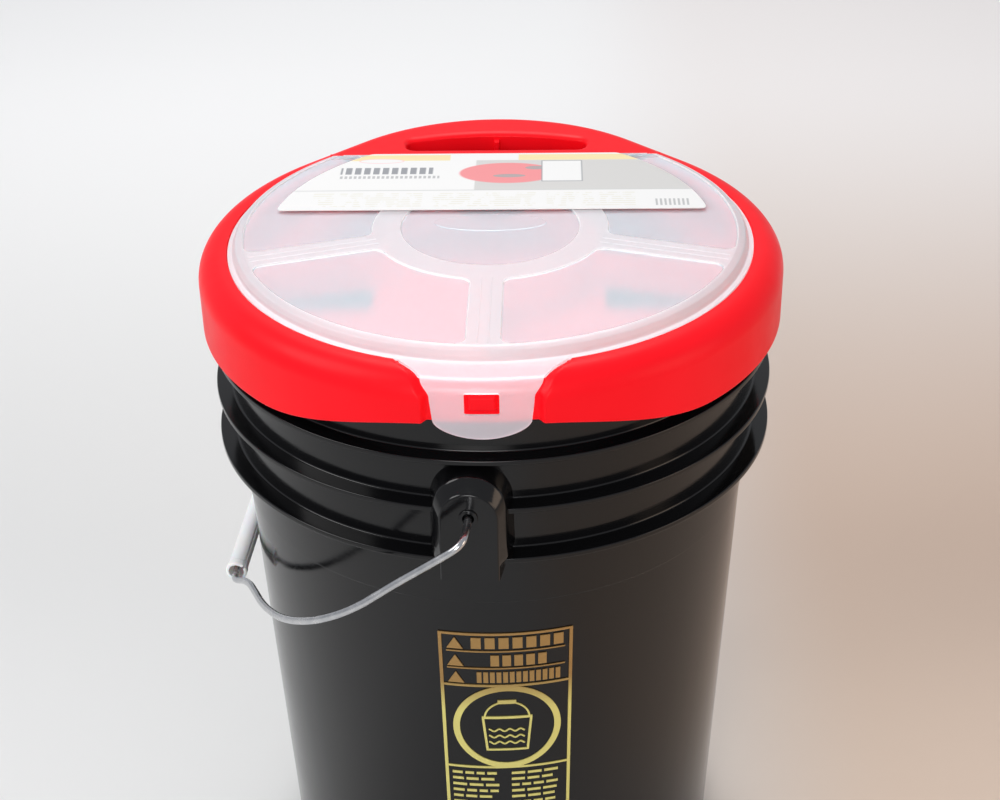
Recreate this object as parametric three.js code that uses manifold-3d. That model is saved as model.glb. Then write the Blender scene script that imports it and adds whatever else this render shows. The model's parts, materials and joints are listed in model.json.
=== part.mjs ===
// A ribbed plastic pail with a wire bail, closed by a moulded seat lid. The lid is a tray with
// compartments, a carrying handle and a hinged frosted cover with a latch tab. A printed card
// lies on the cover. Millimetres, +Z up. The origin is on the pail's axis at the floor; the lid's
// latch tab faces -Y and its handle faces +Y.

import * as THREE from 'three';
import { mergeVertices } from 'three/addons/utils/BufferGeometryUtils.js';
import Module from 'manifold-3d';

const wasm = await Module();
wasm.setup();

const { cos, sin, PI, sqrt } = Math;
const degrees = PI / 180;

// ---- driving dimensions ----

// pail
const rimZ = 368;
const footRadius = 128.2;
const wallTopZ = 286;
const wallTopRadius = 141;
const stepZ = 253.5;
const stepDepth = 0.6;
const wall = 2.3;
const collarRadius = 143;
const rimRadius = 145.6;
const rimInnerRadius = 140.6;
const bottomZ = 8;
const pailRibs = [
  { z: 286, radius: 152.1 },
  { z: 314.9, radius: 151.5 },
  { z: 341.8, radius: 150.6 },
];
const ribThickness = 2.8;
const footRing = 3.2;
const splitZ = 281.5;
const hubRadius = 18;
const footRibs = 8;
const pailSegments = 56;

// ears, which carry the bail
const earTurn = -2.75 * degrees;
const earAxisZ = 318.8;
const earFaceRadius = 160;
const earFaceHalfWidth = 14.2;
const earFaceTopZ = 331.4;
const earBottomZ = 282;
const earKneeZ = [286, 291, 298, 311];
const earWall = 3;
const earHoleRadius = 2.3;
const earCollarRadius = 4.6;
const earCollarHeight = 0.9;

// bail
const wireRadius = 1.9;
const bailHang = 51.5 * degrees;
const bailReach = 183.4;
const gripHalfLength = 54;
const gripRadius = 6;
const gripBore = 2.6;

// seat lid
const lidRadius = 155;
const handleArcRadius = 114.2;
const handleArcY = 59.5;
const lidTopZ = 391;
const shoulder = 13;
const skirtZ = 351.7;
const skirtRise = 14.8;
const skirtRiseStart = 46;
const skirtRiseEnd = 8;
const skirtWall = 2.6;
const lidPlateZ = 386.6;
const ledgeZ = 389.1;
const trayRadius = 131;
const trayBackY = 97;
const trayFloorZ = 372;
const trayWall = 2.4;
const dividerTopZ = 388.8;
const dividerWall = 3;
const cupRadius = 55;
const spokeStep = 72;
const plugRadius = 139.2;
const plugBottomZ = 357;
const landingGap = 0.4;
const landingOuterRadius = 144.6;
const slotHalfLength = 53;
const slotFrontY = 116.7;
const slotOuterRadius = 141;
const slotCorner = 7;
const handleSplitY = 109;
const dropInnerX = 60;
const dropOuterX = 126;
const dropFrontY = -50;
const lidSegments = 60;

// cover and its hinge
const coverRadius = 138.9;
const coverEdgeZ = 391;
const coverTopZ = 397;
const coverFlatRadius = 131;
const windowRadius = 130.3;
const windowDepth = 0.8;
const coverThickness = 2;
const bandHalfWidth = 8.2;
const ringInner = 47.5;
const ringOuter = 62.5;
const hingeY = 102.3;
const hingeZ = 391.3;
const knuckleRadius = 2.4;
const knuckleHalfLength = 88;
const stubRadius = 1.5;
const stubHoleRadius = 1.9;
const stubEndX = 92;
const lugInnerX = 89.6;
const lugOuterX = 95.6;
const fitGap = 0.3;

// latch tab
const tabHalfWidth = 24.5;
const tabTipHalfWidth = 23.2;
const tabFaceRadius = 157.6;
const tabThickness = 1.6;
const tabTipZ = 361.5;
const tabCreaseY = -143.2;
const tabFlareAngle = 16.2 * degrees;
const tabFlareHalfWidth = 26.9;
const recessHalfWidth = 27.5;
const recessInset = 4;
const windowHalfWidth = 8.2;
const tabWindowZ = [374.3, 385.6];

// card
const cardFrontY = 18;
const cardBackY = 94;
const cardRadius = 117.5;
const cardThickness = 0.6;

// ---- solids and booleans ----

function signedVolume(positions, index) {
  const a = new THREE.Vector3();
  const b = new THREE.Vector3();
  const c = new THREE.Vector3();
  let volume = 0;
  for (let i = 0; i < index.length; i += 3) {
    a.fromArray(positions, index[i] * 3);
    b.fromArray(positions, index[i + 1] * 3);
    c.fromArray(positions, index[i + 2] * 3);
    volume += a.dot(b.cross(c)) / 6;
  }
  return volume;
}

// A closed three.js geometry as a solid, with its faces turned outwards.
function solid(geometry) {
  const bare = geometry.clone();
  bare.deleteAttribute('normal');
  bare.deleteAttribute('uv');
  const merged = mergeVertices(bare, 1e-4);
  const vertProperties = new Float32Array(merged.attributes.position.array);
  const triangles = [];
  const index = merged.index.array;
  for (let i = 0; i < index.length; i += 3) {
    const [a, b, c] = [index[i], index[i + 1], index[i + 2]];
    if (a !== b && b !== c && c !== a) triangles.push(a, b, c);
  }
  if (signedVolume(vertProperties, triangles) < 0) triangles.reverse();
  const triVerts = new Uint32Array(triangles);
  return new wasm.Manifold(new wasm.Mesh({ numProp: 3, vertProperties, triVerts }));
}

function toGeometry(body) {
  const mesh = body.getMesh();
  const geometry = new THREE.BufferGeometry();
  geometry.setAttribute('position', new THREE.BufferAttribute(new Float32Array(mesh.vertProperties), 3));
  geometry.setIndex(new THREE.BufferAttribute(new Uint32Array(mesh.triVerts), 1));
  geometry.computeVertexNormals();
  return geometry;
}

// Revolves a closed outline of [radius, z] points about the Z axis.
function revolve(outline, segments) {
  const points = outline.map(([radius, z]) => new THREE.Vector2(radius, z));
  if (outline[0][0] > 0) points.push(points[0].clone());
  return solid(new THREE.LatheGeometry(points, segments).rotateX(PI / 2));
}

function tube(innerRadius, outerRadius, lowZ, highZ, segments) {
  return revolve(
    [[innerRadius, lowZ], [outerRadius, lowZ], [outerRadius, highZ], [innerRadius, highZ]],
    segments,
  );
}

function disc(radius, lowZ, highZ, segments) {
  return revolve([[0, lowZ], [radius, lowZ], [radius, highZ], [0, highZ]], segments);
}

function box(low, high) {
  const size = high.map((value, i) => value - low[i]);
  const geometry = new THREE.BoxGeometry(...size);
  geometry.translate(...high.map((value, i) => (value + low[i]) / 2));
  return solid(geometry);
}

// Raises a plan shape from lowZ to highZ.
function prism(shape, lowZ, highZ, curveSegments = 8) {
  const depth = highZ - lowZ;
  const geometry = new THREE.ExtrudeGeometry(shape, { depth, bevelEnabled: false, curveSegments });
  return solid(geometry.translate(0, 0, lowZ));
}

function rodAlongX(radius, lowX, highX, y, z, sides = 16) {
  const geometry = new THREE.CylinderGeometry(radius, radius, highX - lowX, sides);
  return solid(geometry.rotateZ(PI / 2).translate((lowX + highX) / 2, y, z));
}

function rodAlongY(radius, lowY, highY, z, sides = 20) {
  const geometry = new THREE.CylinderGeometry(radius, radius, highY - lowY, sides);
  return solid(geometry.translate(0, (lowY + highY) / 2, 0).translate(0, 0, z));
}

// Skins a closed solid over rings of equal point count, the first and last of them capped.
function loft(rings) {
  const count = rings[0].length;
  const positions = rings.flat(2);
  const index = [];
  for (let ring = 0; ring < rings.length - 1; ring++) {
    for (let i = 0; i < count; i++) {
      const a = ring * count + i;
      const b = ring * count + (i + 1) % count;
      index.push(a, b, b + count, a, b + count, a + count);
    }
  }
  for (const end of [0, rings.length - 1]) {
    const centre = positions.length / 3;
    for (let axis = 0; axis < 3; axis++) {
      positions.push(rings[end].reduce((sum, point) => sum + point[axis], 0) / count);
    }
    for (let i = 0; i < count; i++) {
      const a = end * count + i;
      const b = end * count + (i + 1) % count;
      index.push(...(end === 0 ? [centre, b, a] : [centre, a, b]));
    }
  }
  const geometry = new THREE.BufferGeometry();
  geometry.setAttribute('position', new THREE.Float32BufferAttribute(positions, 3));
  geometry.setIndex(index);
  return solid(geometry);
}

function turned(body, angle) {
  return solid(toGeometry(body).rotateZ(angle));
}

// ---- the pail ----

function wallRadiusAt(z) {
  return footRadius + (wallTopRadius - footRadius) * z / wallTopZ;
}

// The tapered wall from the foot ring up to the collar.
function bucketWall() {
  const top = splitZ - fitGap / 2;
  return revolve([
    [footRadius - footRing, 1], [footRadius - footRing + 0.8, 0], [footRadius - 0.8, 0], [wallRadiusAt(1), 1],
    [wallRadiusAt(stepZ) - stepDepth, stepZ - 0.6], [wallRadiusAt(stepZ), stepZ],
    [wallRadiusAt(top), top], [wallRadiusAt(top) - wall, top],
    [wallRadiusAt(bottomZ) - wall, bottomZ], [footRadius - footRing, bottomZ],
  ], pailSegments);
}

// The upper wall with its ribs and rim.
function collarRing() {
  const low = splitZ + fitGap / 2;
  const outline = [[wallRadiusAt(low) - wall, low], [wallRadiusAt(low), low]];
  for (const rib of pailRibs) {
    const root = rib.z < wallTopZ + 1 ? wallRadiusAt(rib.z) : collarRadius;
    outline.push([root, rib.z - 0.8]);
    outline.push([rib.radius, rib.z]);
    outline.push([rib.radius - 0.2, rib.z + ribThickness]);
    outline.push([collarRadius, rib.z + ribThickness + 0.8]);
  }
  outline.push([collarRadius, rimZ - 6], [rimRadius, rimZ - 5], [rimRadius, rimZ - 1.2]);
  outline.push([rimRadius - 1.2, rimZ], [rimInnerRadius + 0.8, rimZ], [rimInnerRadius, rimZ - 1]);
  outline.push([collarRadius - wall, wallTopZ + 2]);
  return revolve(outline, pailSegments);
}

// The ear's section across its axis, seen from outside: it widens from its bottom to a knee,
// narrows again and ends in a round arch. Widths are half widths.
function earRing([bottomWidth, kneeWidth, archWidth], topZ, y, bottom = earBottomZ) {
  const side = [
    [bottomWidth, bottom], [bottomWidth, earKneeZ[0]], [kneeWidth, earKneeZ[1]], [kneeWidth, earKneeZ[2]],
    [archWidth, earKneeZ[3]],
  ];
  const ring = side.map(([x, z]) => [x, y, z]);
  const steps = 12;
  for (let i = 0; i <= steps; i++) {
    const angle = PI * i / steps;
    ring.push([archWidth * cos(angle), y, topZ - archWidth + archWidth * sin(angle)]);
  }
  return ring.concat(side.reverse().map(([x, z]) => [-x, y, z]));
}

// The front ear: a boss whose cheeks slope in to a flat face, hollow from below, with a collar
// round the wire's hole.
function ear() {
  const flat = (width) => [width, width, width];
  const boss = loft([
    earRing([17, 21, 20.5], earFaceTopZ + 9, -(collarRadius - 3)),
    earRing([15.6, 19.2, 18.2], earFaceTopZ + 7.4, -(earFaceRadius - 8.5)),
    earRing([15.2, 17.6, 17.4], earFaceTopZ + 6.2, -(earFaceRadius - 5)),
    earRing(flat(earFaceHalfWidth + 0.4), earFaceTopZ + 0.8, -(earFaceRadius - 0.9)),
    earRing(flat(earFaceHalfWidth - 0.4), earFaceTopZ - 0.2, -earFaceRadius),
  ]);
  const collar = rodAlongY(earCollarRadius, -earFaceRadius - earCollarHeight, -earFaceRadius + 1, earAxisZ);
  const inside = flat(earFaceHalfWidth - earWall);
  const hollow = loft([
    earRing(inside, earFaceTopZ - earWall, -(collarRadius + 0.6), earBottomZ - 5),
    earRing(inside, earFaceTopZ - earWall, -(earFaceRadius - earWall), earBottomZ - 5),
  ]);
  const hole = rodAlongY(earHoleRadius, -earFaceRadius - 4, -earFaceRadius + earWall + 1, earAxisZ);
  return { body: boss.add(collar), hollow: hollow.add(hole) };
}

function bucketCollar() {
  let collar = collarRing();
  const { body, hollow } = ear();
  for (const side of [0, PI]) collar = collar.add(turned(body, side));
  for (const side of [0, PI]) collar = collar.subtract(turned(hollow, side));
  return collar;
}

// The bottom plate, with a hub and ribs under it that reach the foot ring.
function bucketBottom() {
  const low = bottomZ + fitGap;
  let bottom = disc(wallRadiusAt(bottomZ) - wall - fitGap, low, low + wall, pailSegments);
  bottom = bottom.add(disc(hubRadius, 0, low + 1, 32));
  const rib = box([hubRadius - 2, -1.2, 0.6], [footRadius - footRing - fitGap, 1.2, low + 1]);
  for (let i = 0; i < footRibs; i++) bottom = bottom.add(turned(rib, 2 * PI * i / footRibs));
  return bottom;
}

// ---- the bail ----

// Half of the wire's centre line as [distance along the ear axis, drop from it].
const bailHalf = [
  [149, 0], [156, 0], [164, 0], [171, 0.1], [176.8, 1], [180, 3.6], [180.8, 8.4], [180.3, 15], [179.3, 25],
  [178.2, 35], [177.2, 46], [176.7, 57], [176, 66], [173.4, 76.8], [168.8, 88], [162.7, 99.2], [154, 111.3],
  [146.6, 119.9], [136.9, 129.3], [123.8, 139.6], [109, 149.4], [93.5, 158], [79.2, 166.2], [70.6, 173],
  [64.6, 179.6], [60.4, bailReach - 0.8], [56.6, bailReach],
];

function bailPoint(along, drop) {
  return new THREE.Vector3(-drop * sin(bailHang), along, earAxisZ - drop * cos(bailHang));
}

function circleShape(radius, sides) {
  const points = [];
  for (let i = 0; i < sides; i++) {
    points.push(new THREE.Vector2(radius * cos(2 * PI * i / sides), radius * sin(2 * PI * i / sides)));
  }
  return new THREE.Shape(points);
}

function bailWire() {
  const front = bailHalf.map(([along, drop]) => bailPoint(-along, drop));
  const middle = [-30, 0, 30].map((along) => bailPoint(along, bailReach));
  const back = bailHalf.map(([along, drop]) => bailPoint(along, drop)).reverse();
  const path = new THREE.CatmullRomCurve3([...front, ...middle, ...back], false, 'centripetal');
  return solid(new THREE.ExtrudeGeometry(circleShape(wireRadius, 8), { steps: 120, extrudePath: path }));
}

function bailGrip() {
  const half = gripHalfLength;
  const outline = [
    [gripBore, -half], [gripRadius - 0.8, -half], [gripRadius, -half + 1], [gripRadius, -half + 4],
    [gripRadius - 0.5, -half + 5], [gripRadius - 0.5, half - 5], [gripRadius, half - 4],
    [gripRadius, half - 1], [gripRadius - 0.8, half], [gripBore, half],
  ];
  const centre = bailPoint(0, bailReach);
  const sleeve = toGeometry(revolve(outline, 20)).rotateX(PI / 2);
  return solid(sleeve.translate(centre.x, centre.y, centre.z));
}

// ---- the seat lid ----

// The lid's plan outline, moved inwards by inset: the main circle and the handle's arc joined by
// their common tangents. Points are spaced by the direction of the outline's normal.
function lidRing(inset, z) {
  const tangent = Math.acos((lidRadius - handleArcRadius) / handleArcY);
  const ring = [];
  for (let i = 0; i < lidSegments; i++) {
    const angle = 2 * PI * (i + 0.5) / lidSegments - PI;
    const onHandle = Math.abs(angle) < tangent;
    const radius = (onHandle ? handleArcRadius : lidRadius) - inset;
    const centreY = onHandle ? handleArcY : 0;
    ring.push([-radius * sin(angle), centreY + radius * cos(angle), z]);
  }
  return ring;
}

// The lid's outer form, or an inner copy of it, with its rounded shoulder.
function lidForm(inset, topZ, lowZ) {
  const radius = shoulder - inset * 0.75;
  const rings = [lidRing(inset, lowZ)];
  for (let i = 0; i <= 4; i++) {
    const angle = PI / 2 * i / 4;
    rings.push(lidRing(inset + radius * (1 - cos(angle)), topZ - radius + radius * sin(angle)));
  }
  return loft(rings);
}

// The plan of the latch's recess: straight sides that flare out where they meet the cover.
function flareShape(halfWidth, edgeRadius, flareAngle, outerY) {
  const flareX = edgeRadius * sin(flareAngle);
  const flareY = -edgeRadius * cos(flareAngle);
  const straightY = flareY - 18;
  const shape = new THREE.Shape();
  shape.moveTo(-flareX * 0.6, flareY + 6);
  shape.lineTo(-flareX, flareY);
  shape.bezierCurveTo(-flareX + 6, flareY - 2.5, -halfWidth - 1, straightY + 9, -halfWidth, straightY);
  shape.lineTo(-halfWidth, outerY);
  shape.lineTo(halfWidth, outerY);
  shape.lineTo(halfWidth, straightY);
  shape.bezierCurveTo(halfWidth + 1, straightY + 9, flareX - 6, flareY - 2.5, flareX, flareY);
  shape.lineTo(flareX * 0.6, flareY + 6);
  shape.closePath();
  return shape;
}

// A ring that removes everything below the skirt's edge, which rises towards the front.
function skirtTrim() {
  const inner = landingOuterRadius + 1;
  const outer = 200;
  const smooth = (t) => t * t * (3 - 2 * t);
  const positions = [];
  const index = [];
  for (let i = 0; i < lidSegments; i++) {
    const azimuth = 360 * (i + 0.5) / lidSegments - 180;
    const t = (Math.abs(azimuth) - skirtRiseEnd) / (skirtRiseStart - skirtRiseEnd);
    const edgeZ = skirtZ + skirtRise * (1 - smooth(Math.min(Math.max(t, 0), 1)));
    const [x, y] = [sin(azimuth * degrees), -cos(azimuth * degrees)];
    positions.push(x * inner, y * inner, 330, x * outer, y * outer, 330);
    positions.push(x * outer, y * outer, edgeZ, x * inner, y * inner, edgeZ);
    for (let side = 0; side < 4; side++) {
      const a = i * 4 + side;
      const b = i * 4 + (side + 1) % 4;
      const c = (i + 1) % lidSegments * 4 + (side + 1) % 4;
      const d = (i + 1) % lidSegments * 4 + side;
      index.push(a, b, c, a, c, d);
    }
  }
  const geometry = new THREE.BufferGeometry();
  geometry.setAttribute('position', new THREE.Float32BufferAttribute(positions, 3));
  geometry.setIndex(index);
  return solid(geometry);
}

// The tray's room, grown by grow, with its straight back.
function trayRoom(grow, lowZ) {
  const room = disc(trayRadius + grow, lowZ, 400, lidSegments);
  return room.intersect(box([-200, -200, 300], [200, trayBackY + grow, 500]));
}

// An opening in the floor of a front compartment, beside its spoke, that lets long things stand through
// the tray into the pail.
function dropOpening(side) {
  const slope = Math.tan(PI / 2 - spokeStep * degrees);
  const spokeY = (x) => -slope * x - dividerWall;
  const shape = new THREE.Shape();
  shape.moveTo(side * dropInnerX, dropFrontY);
  shape.lineTo(side * dropOuterX, dropFrontY);
  shape.lineTo(side * dropOuterX, spokeY(dropOuterX));
  shape.lineTo(side * dropInnerX, spokeY(dropInnerX));
  shape.closePath();
  return prism(shape, 340, 400).intersect(disc(trayRadius - 1, 340, 400, lidSegments));
}

function slotShape(grow) {
  const front = slotFrontY - grow;
  const end = slotHalfLength + grow;
  const radius = slotOuterRadius + grow;
  const endY = sqrt(radius * radius - (end - slotCorner) ** 2);
  const shape = new THREE.Shape();
  shape.moveTo(-end + slotCorner, front);
  shape.lineTo(end - slotCorner, front);
  shape.quadraticCurveTo(end, front, end, (front + endY) / 2);
  shape.quadraticCurveTo(end, endY - 1, end - slotCorner, endY);
  const edge = Math.atan2(endY, end - slotCorner);
  shape.absarc(0, 0, radius, edge, PI - edge, false);
  shape.quadraticCurveTo(-end, endY - 1, -end, (front + endY) / 2);
  shape.quadraticCurveTo(-end, front, -end + slotCorner, front);
  return shape;
}

// The lid's outer moulding: top plate, shoulder, skirt, carrying handle, hinge lugs and catch.
function lidMoulding() {
  const edgeRadius = coverRadius + 0.6;
  const recessShape = flareShape(recessHalfWidth, edgeRadius, tabFlareAngle + 0.004, -170);
  const recess = prism(recessShape, 330, 400);
  const behindShape = flareShape(recessHalfWidth + skirtWall, edgeRadius, tabFlareAngle + 0.02, -170);
  const behind = prism(behindShape, 330, 400);
  const outer = lidForm(0, lidTopZ, 340).subtract(recess.subtract(lidForm(recessInset, ledgeZ, 335)));
  const inner = lidForm(skirtWall, lidPlateZ, 335);
  const hollow = inner.subtract(behind).add(
    inner.intersect(behind).intersect(lidForm(recessInset + skirtWall, lidPlateZ, 334)),
  );
  let rim = outer.subtract(hollow);
  rim = rim.add(tube(slotOuterRadius, landingOuterRadius, rimZ + landingGap, lidPlateZ + 1, lidSegments));
  rim = rim.add(prism(slotShape(trayWall), trayFloorZ - trayWall, lidPlateZ + 1, 6));
  rim = rim.subtract(prism(slotShape(0), 330, 400, 6));
  rim = rim.add(box([-1.4, slotOuterRadius - 5, rimZ + landingGap], [1.4, slotOuterRadius + 1, lidTopZ - 4]));
  rim = cutHinge(rim.subtract(coverSeat()));
  rim = rim.subtract(trayRoom(trayWall + fitGap, 300));
  return rim.add(latchCatch()).subtract(skirtTrim());
}

function seatRim() {
  return lidMoulding().intersect(box([-200, -200, 300], [200, handleSplitY - fitGap / 2, 500]));
}

// The part of the moulding round the slot, by which the lid is carried.
function carryHandle() {
  return lidMoulding().intersect(box([-200, handleSplitY + fitGap / 2, 300], [200, 200, 500]));
}

// What the cover's edge lies in: everything above the ledge.
function coverSeat() {
  const seat = disc(coverRadius + 0.6, ledgeZ, 400, lidSegments);
  return seat.intersect(box([-200, -200, 300], [200, hingeY + knuckleRadius + 0.5, 500]));
}

// Cuts the knuckle's groove and leaves a lug with a pin hole at each end of it.
function cutHinge(body) {
  const grooveHalf = lugOuterX - 0.2;
  const grooveLow = [-grooveHalf, hingeY - 3, hingeZ - knuckleRadius - 0.4];
  let made = body.subtract(box(grooveLow, [grooveHalf, hingeY + knuckleRadius + 0.5, 400]));
  for (const side of [-1, 1]) {
    const [a, b] = [side * lugInnerX, side * lugOuterX].sort((p, q) => p - q);
    const [c, d] = [side * (lugInnerX - 1), side * (stubEndX + 0.5)].sort((p, q) => p - q);
    const lug = box([a, hingeY - 2.5, hingeZ - knuckleRadius - 2], [b, hingeY + knuckleRadius + 1, hingeZ])
      .add(rodAlongX(2.5, a, b, hingeY, hingeZ));
    made = made.add(lug).subtract(rodAlongX(stubHoleRadius, c, d, hingeY, hingeZ));
  }
  return made;
}

// The wedge that the tab's window snaps over.
function latchCatch() {
  const wallRadius = lidRadius - recessInset;
  const low = tabWindowZ[0] + 1;
  const high = tabWindowZ[1] - 0.6;
  const ring = (halfWidth, bottom, top, y) => [
    [-halfWidth, y, bottom], [halfWidth, y, bottom], [halfWidth, y, top], [-halfWidth, y, top],
  ];
  return loft([
    ring(windowHalfWidth - 0.8, low, high, -wallRadius + 2),
    ring(windowHalfWidth - 0.8, low, high, -wallRadius - 1.5),
    ring(windowHalfWidth - 2.6, low + 0.6, high - 3.2, -(tabFaceRadius - tabThickness - 0.5)),
  ]);
}

// The ring under the seat rim that plugs the pail's mouth, open where the slot passes.
function plugRing() {
  const ring = tube(plugRadius - trayWall, plugRadius, plugBottomZ, lidPlateZ - fitGap, lidSegments);
  return ring.subtract(prism(slotShape(trayWall + fitGap), 330, 400, 6));
}

function trayPan() {
  let pan = disc(trayRadius + trayWall, trayFloorZ - trayWall, ledgeZ, lidSegments);
  pan = pan.intersect(box([-200, -200, 300], [200, trayBackY + trayWall, 500]));
  pan = pan.subtract(trayRoom(0, trayFloorZ)).subtract(box(
    [-lugOuterX - 1, hingeY - 3, hingeZ - knuckleRadius - 0.4], [lugOuterX + 1, hingeY, 400],
  ));
  for (const side of [-1, 1]) pan = pan.subtract(dropOpening(side));
  return pan;
}

// The round cup's wall and the five spokes that part the compartments.
function trayDividers() {
  const half = dividerWall / 2;
  const low = trayFloorZ + fitGap;
  let dividers = tube(cupRadius - half, cupRadius + half, low, dividerTopZ, 40);
  const spoke = box([-half, -trayRadius + fitGap, low], [half, -cupRadius, dividerTopZ]);
  for (let i = 0; i < 5; i++) dividers = dividers.add(turned(spoke, i * spokeStep * degrees));
  return dividers.intersect(box([-200, -200, 300], [200, trayBackY - fitGap, 500]));
}

// ---- the cover ----

// A window between two spokes and two radii, with rounded corners, as a plan shape.
function windowShape(innerRadius, outerRadius, firstAngle, lastAngle, margin) {
  const shape = new THREE.Shape();
  const edgeAngle = (radius) => Math.asin(margin / radius);
  const outerStart = firstAngle + edgeAngle(outerRadius);
  const outerEnd = lastAngle - edgeAngle(outerRadius);
  const innerStart = firstAngle + edgeAngle(innerRadius);
  const innerEnd = lastAngle - edgeAngle(innerRadius);
  shape.absarc(0, 0, outerRadius, outerStart, outerEnd, false);
  shape.absarc(0, 0, innerRadius, innerEnd, innerStart, true);
  shape.closePath();
  return shape;
}

function coverWindows() {
  const low = coverTopZ - windowDepth;
  let windows = disc(ringInner, low, coverTopZ + 3, 32);
  for (let i = 0; i < 5; i++) {
    const first = -PI / 2 + i * spokeStep * degrees;
    const last = first + spokeStep * degrees;
    const shape = windowShape(ringOuter, windowRadius, first, last, bandHalfWidth);
    windows = windows.add(prism(shape, low, coverTopZ + 3, 10));
  }
  return windows.intersect(box([-200, -200, 300], [200, trayBackY - 1, 500]));
}

function coverPlate() {
  const inner = coverTopZ - coverThickness;
  const plate = revolve([
    [0, inner], [coverFlatRadius - 0.8, inner], [132.6, inner - 1], [134.2, 391.6], [134.4, coverEdgeZ - 1.6],
    [coverRadius, coverEdgeZ - 1.6], [coverRadius, coverEdgeZ], [136.6, coverEdgeZ + 0.4], [136, 393.4],
    [134.4, 395.8], [coverFlatRadius, coverTopZ], [0, coverTopZ],
  ], lidSegments);
  return plate.intersect(box([-200, -200, 300], [200, hingeY, 500]));
}

// An outline of [y, z] points carried along X.
function bar(outline, halfLength) {
  return loft([-halfLength, halfLength].map((x) => outline.map(([y, z]) => [x, y, z])));
}

const slopeStart = [trayBackY - 3, coverTopZ];
const slopeEnd = [hingeY + 0.6, hingeZ + 1.8];

// What lies above the straight slope between the cover's flat top and its hinge knuckle.
function aboveSlope() {
  return bar([
    [slopeStart[0], coverTopZ + 4], slopeStart, slopeEnd, [hingeY + 4, hingeZ], [hingeY + 4, coverTopZ + 4],
  ], 160);
}

// The sloping wall that joins the cover's plate to its knuckle.
function hingeWeb() {
  const inner = coverTopZ - coverThickness;
  const web = bar([
    [slopeStart[0] - 4, inner], [slopeStart[0] - 4, coverTopZ], slopeStart, slopeEnd, [hingeY + 0.6, hingeZ],
    [hingeY - 2, hingeZ], [slopeStart[0], inner],
  ], 160);
  return web.intersect(disc(coverFlatRadius + 1, hingeZ - 5, coverTopZ, lidSegments));
}

function cover() {
  const flare = flareShape(tabFlareHalfWidth, coverRadius - 0.2, tabFlareAngle, -170);
  const root = prism(flare, coverEdgeZ - 1.6, coverEdgeZ)
    .intersect(box([-200, tabCreaseY + fitGap / 2, 300], [200, 0, 500]))
    .subtract(disc(136.8, 380, 400, lidSegments));
  let plate = coverPlate().subtract(coverWindows()).add(root).subtract(aboveSlope()).add(hingeWeb());
  plate = plate.add(rodAlongX(knuckleRadius, -knuckleHalfLength, knuckleHalfLength, hingeY, hingeZ));
  plate = plate.add(rodAlongX(stubRadius, -stubEndX, stubEndX, hingeY, hingeZ));
  for (const side of [-1, 1]) {
    const [a, b] = [side * (knuckleHalfLength + 0.5), side * 120].sort((p, q) => p - q);
    const [c, d] = [side * stubEndX, side * 80].sort((p, q) => p - q);
    const notch = box([a, hingeY - 4, 380], [b, hingeY + 5, 400]);
    plate = plate.subtract(notch.subtract(rodAlongX(stubRadius, c, d, hingeY, hingeZ)));
  }
  return plate;
}

// ---- the latch tab ----

// The tab's outline seen from the front: nearly straight sides and a rounded tip.
function tabFrontShape() {
  const shape = new THREE.Shape();
  const cornerZ = tabTipZ + 6.6;
  shape.moveTo(-tabHalfWidth, coverEdgeZ + 5);
  shape.lineTo(-tabHalfWidth, coverEdgeZ - 5);
  shape.lineTo(-tabTipHalfWidth, cornerZ + 3);
  shape.bezierCurveTo(-tabTipHalfWidth, cornerZ - 1.6, -12, tabTipZ, 0, tabTipZ);
  shape.bezierCurveTo(12, tabTipZ, tabTipHalfWidth, cornerZ - 1.6, tabTipHalfWidth, cornerZ + 3);
  shape.lineTo(tabHalfWidth, coverEdgeZ - 5);
  shape.lineTo(tabHalfWidth, coverEdgeZ + 5);
  shape.closePath();
  return shape;
}

function latchTab() {
  const face = tabFaceRadius;
  const bend = 6.5;
  const outerArc = [];
  const innerArc = [];
  for (let i = 0; i <= 5; i++) {
    const angle = PI / 2 * i / 5;
    outerArc.push([face - bend + bend * sin(angle), coverEdgeZ - bend + bend * cos(angle)]);
    innerArc.push([face - bend + (bend - tabThickness) * sin(angle),
      coverEdgeZ - bend + (bend - tabThickness) * cos(angle)]);
  }
  const bent = revolve([
    [138, coverEdgeZ - tabThickness], [138, coverEdgeZ], ...outerArc, [face + 0.3, 355],
    [face + 0.3 - tabThickness, 355], ...innerArc.reverse(),
  ], lidSegments);
  const extrusion = { depth: 60, bevelEnabled: false, curveSegments: 8 };
  const front = new THREE.ExtrudeGeometry(tabFrontShape(), extrusion);
  const frontPrism = solid(front.rotateX(PI / 2).translate(0, -120, 0));
  const flare = prism(flareShape(tabFlareHalfWidth, coverRadius - 0.2, tabFlareAngle, -170), 340, 400);
  const beyondCrease = box([-100, -180, 300], [100, tabCreaseY - fitGap / 2, 500]);
  const aboveBend = box([-100, -180, coverEdgeZ - 4], [100, 0, 500]);
  const opening = box([-windowHalfWidth, -180, tabWindowZ[0]], [windowHalfWidth, 0, tabWindowZ[1]]);
  return bent.intersect(frontPrism.add(flare.intersect(aboveBend))).intersect(beyondCrease).subtract(opening);
}

// ---- the card ----

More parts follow.
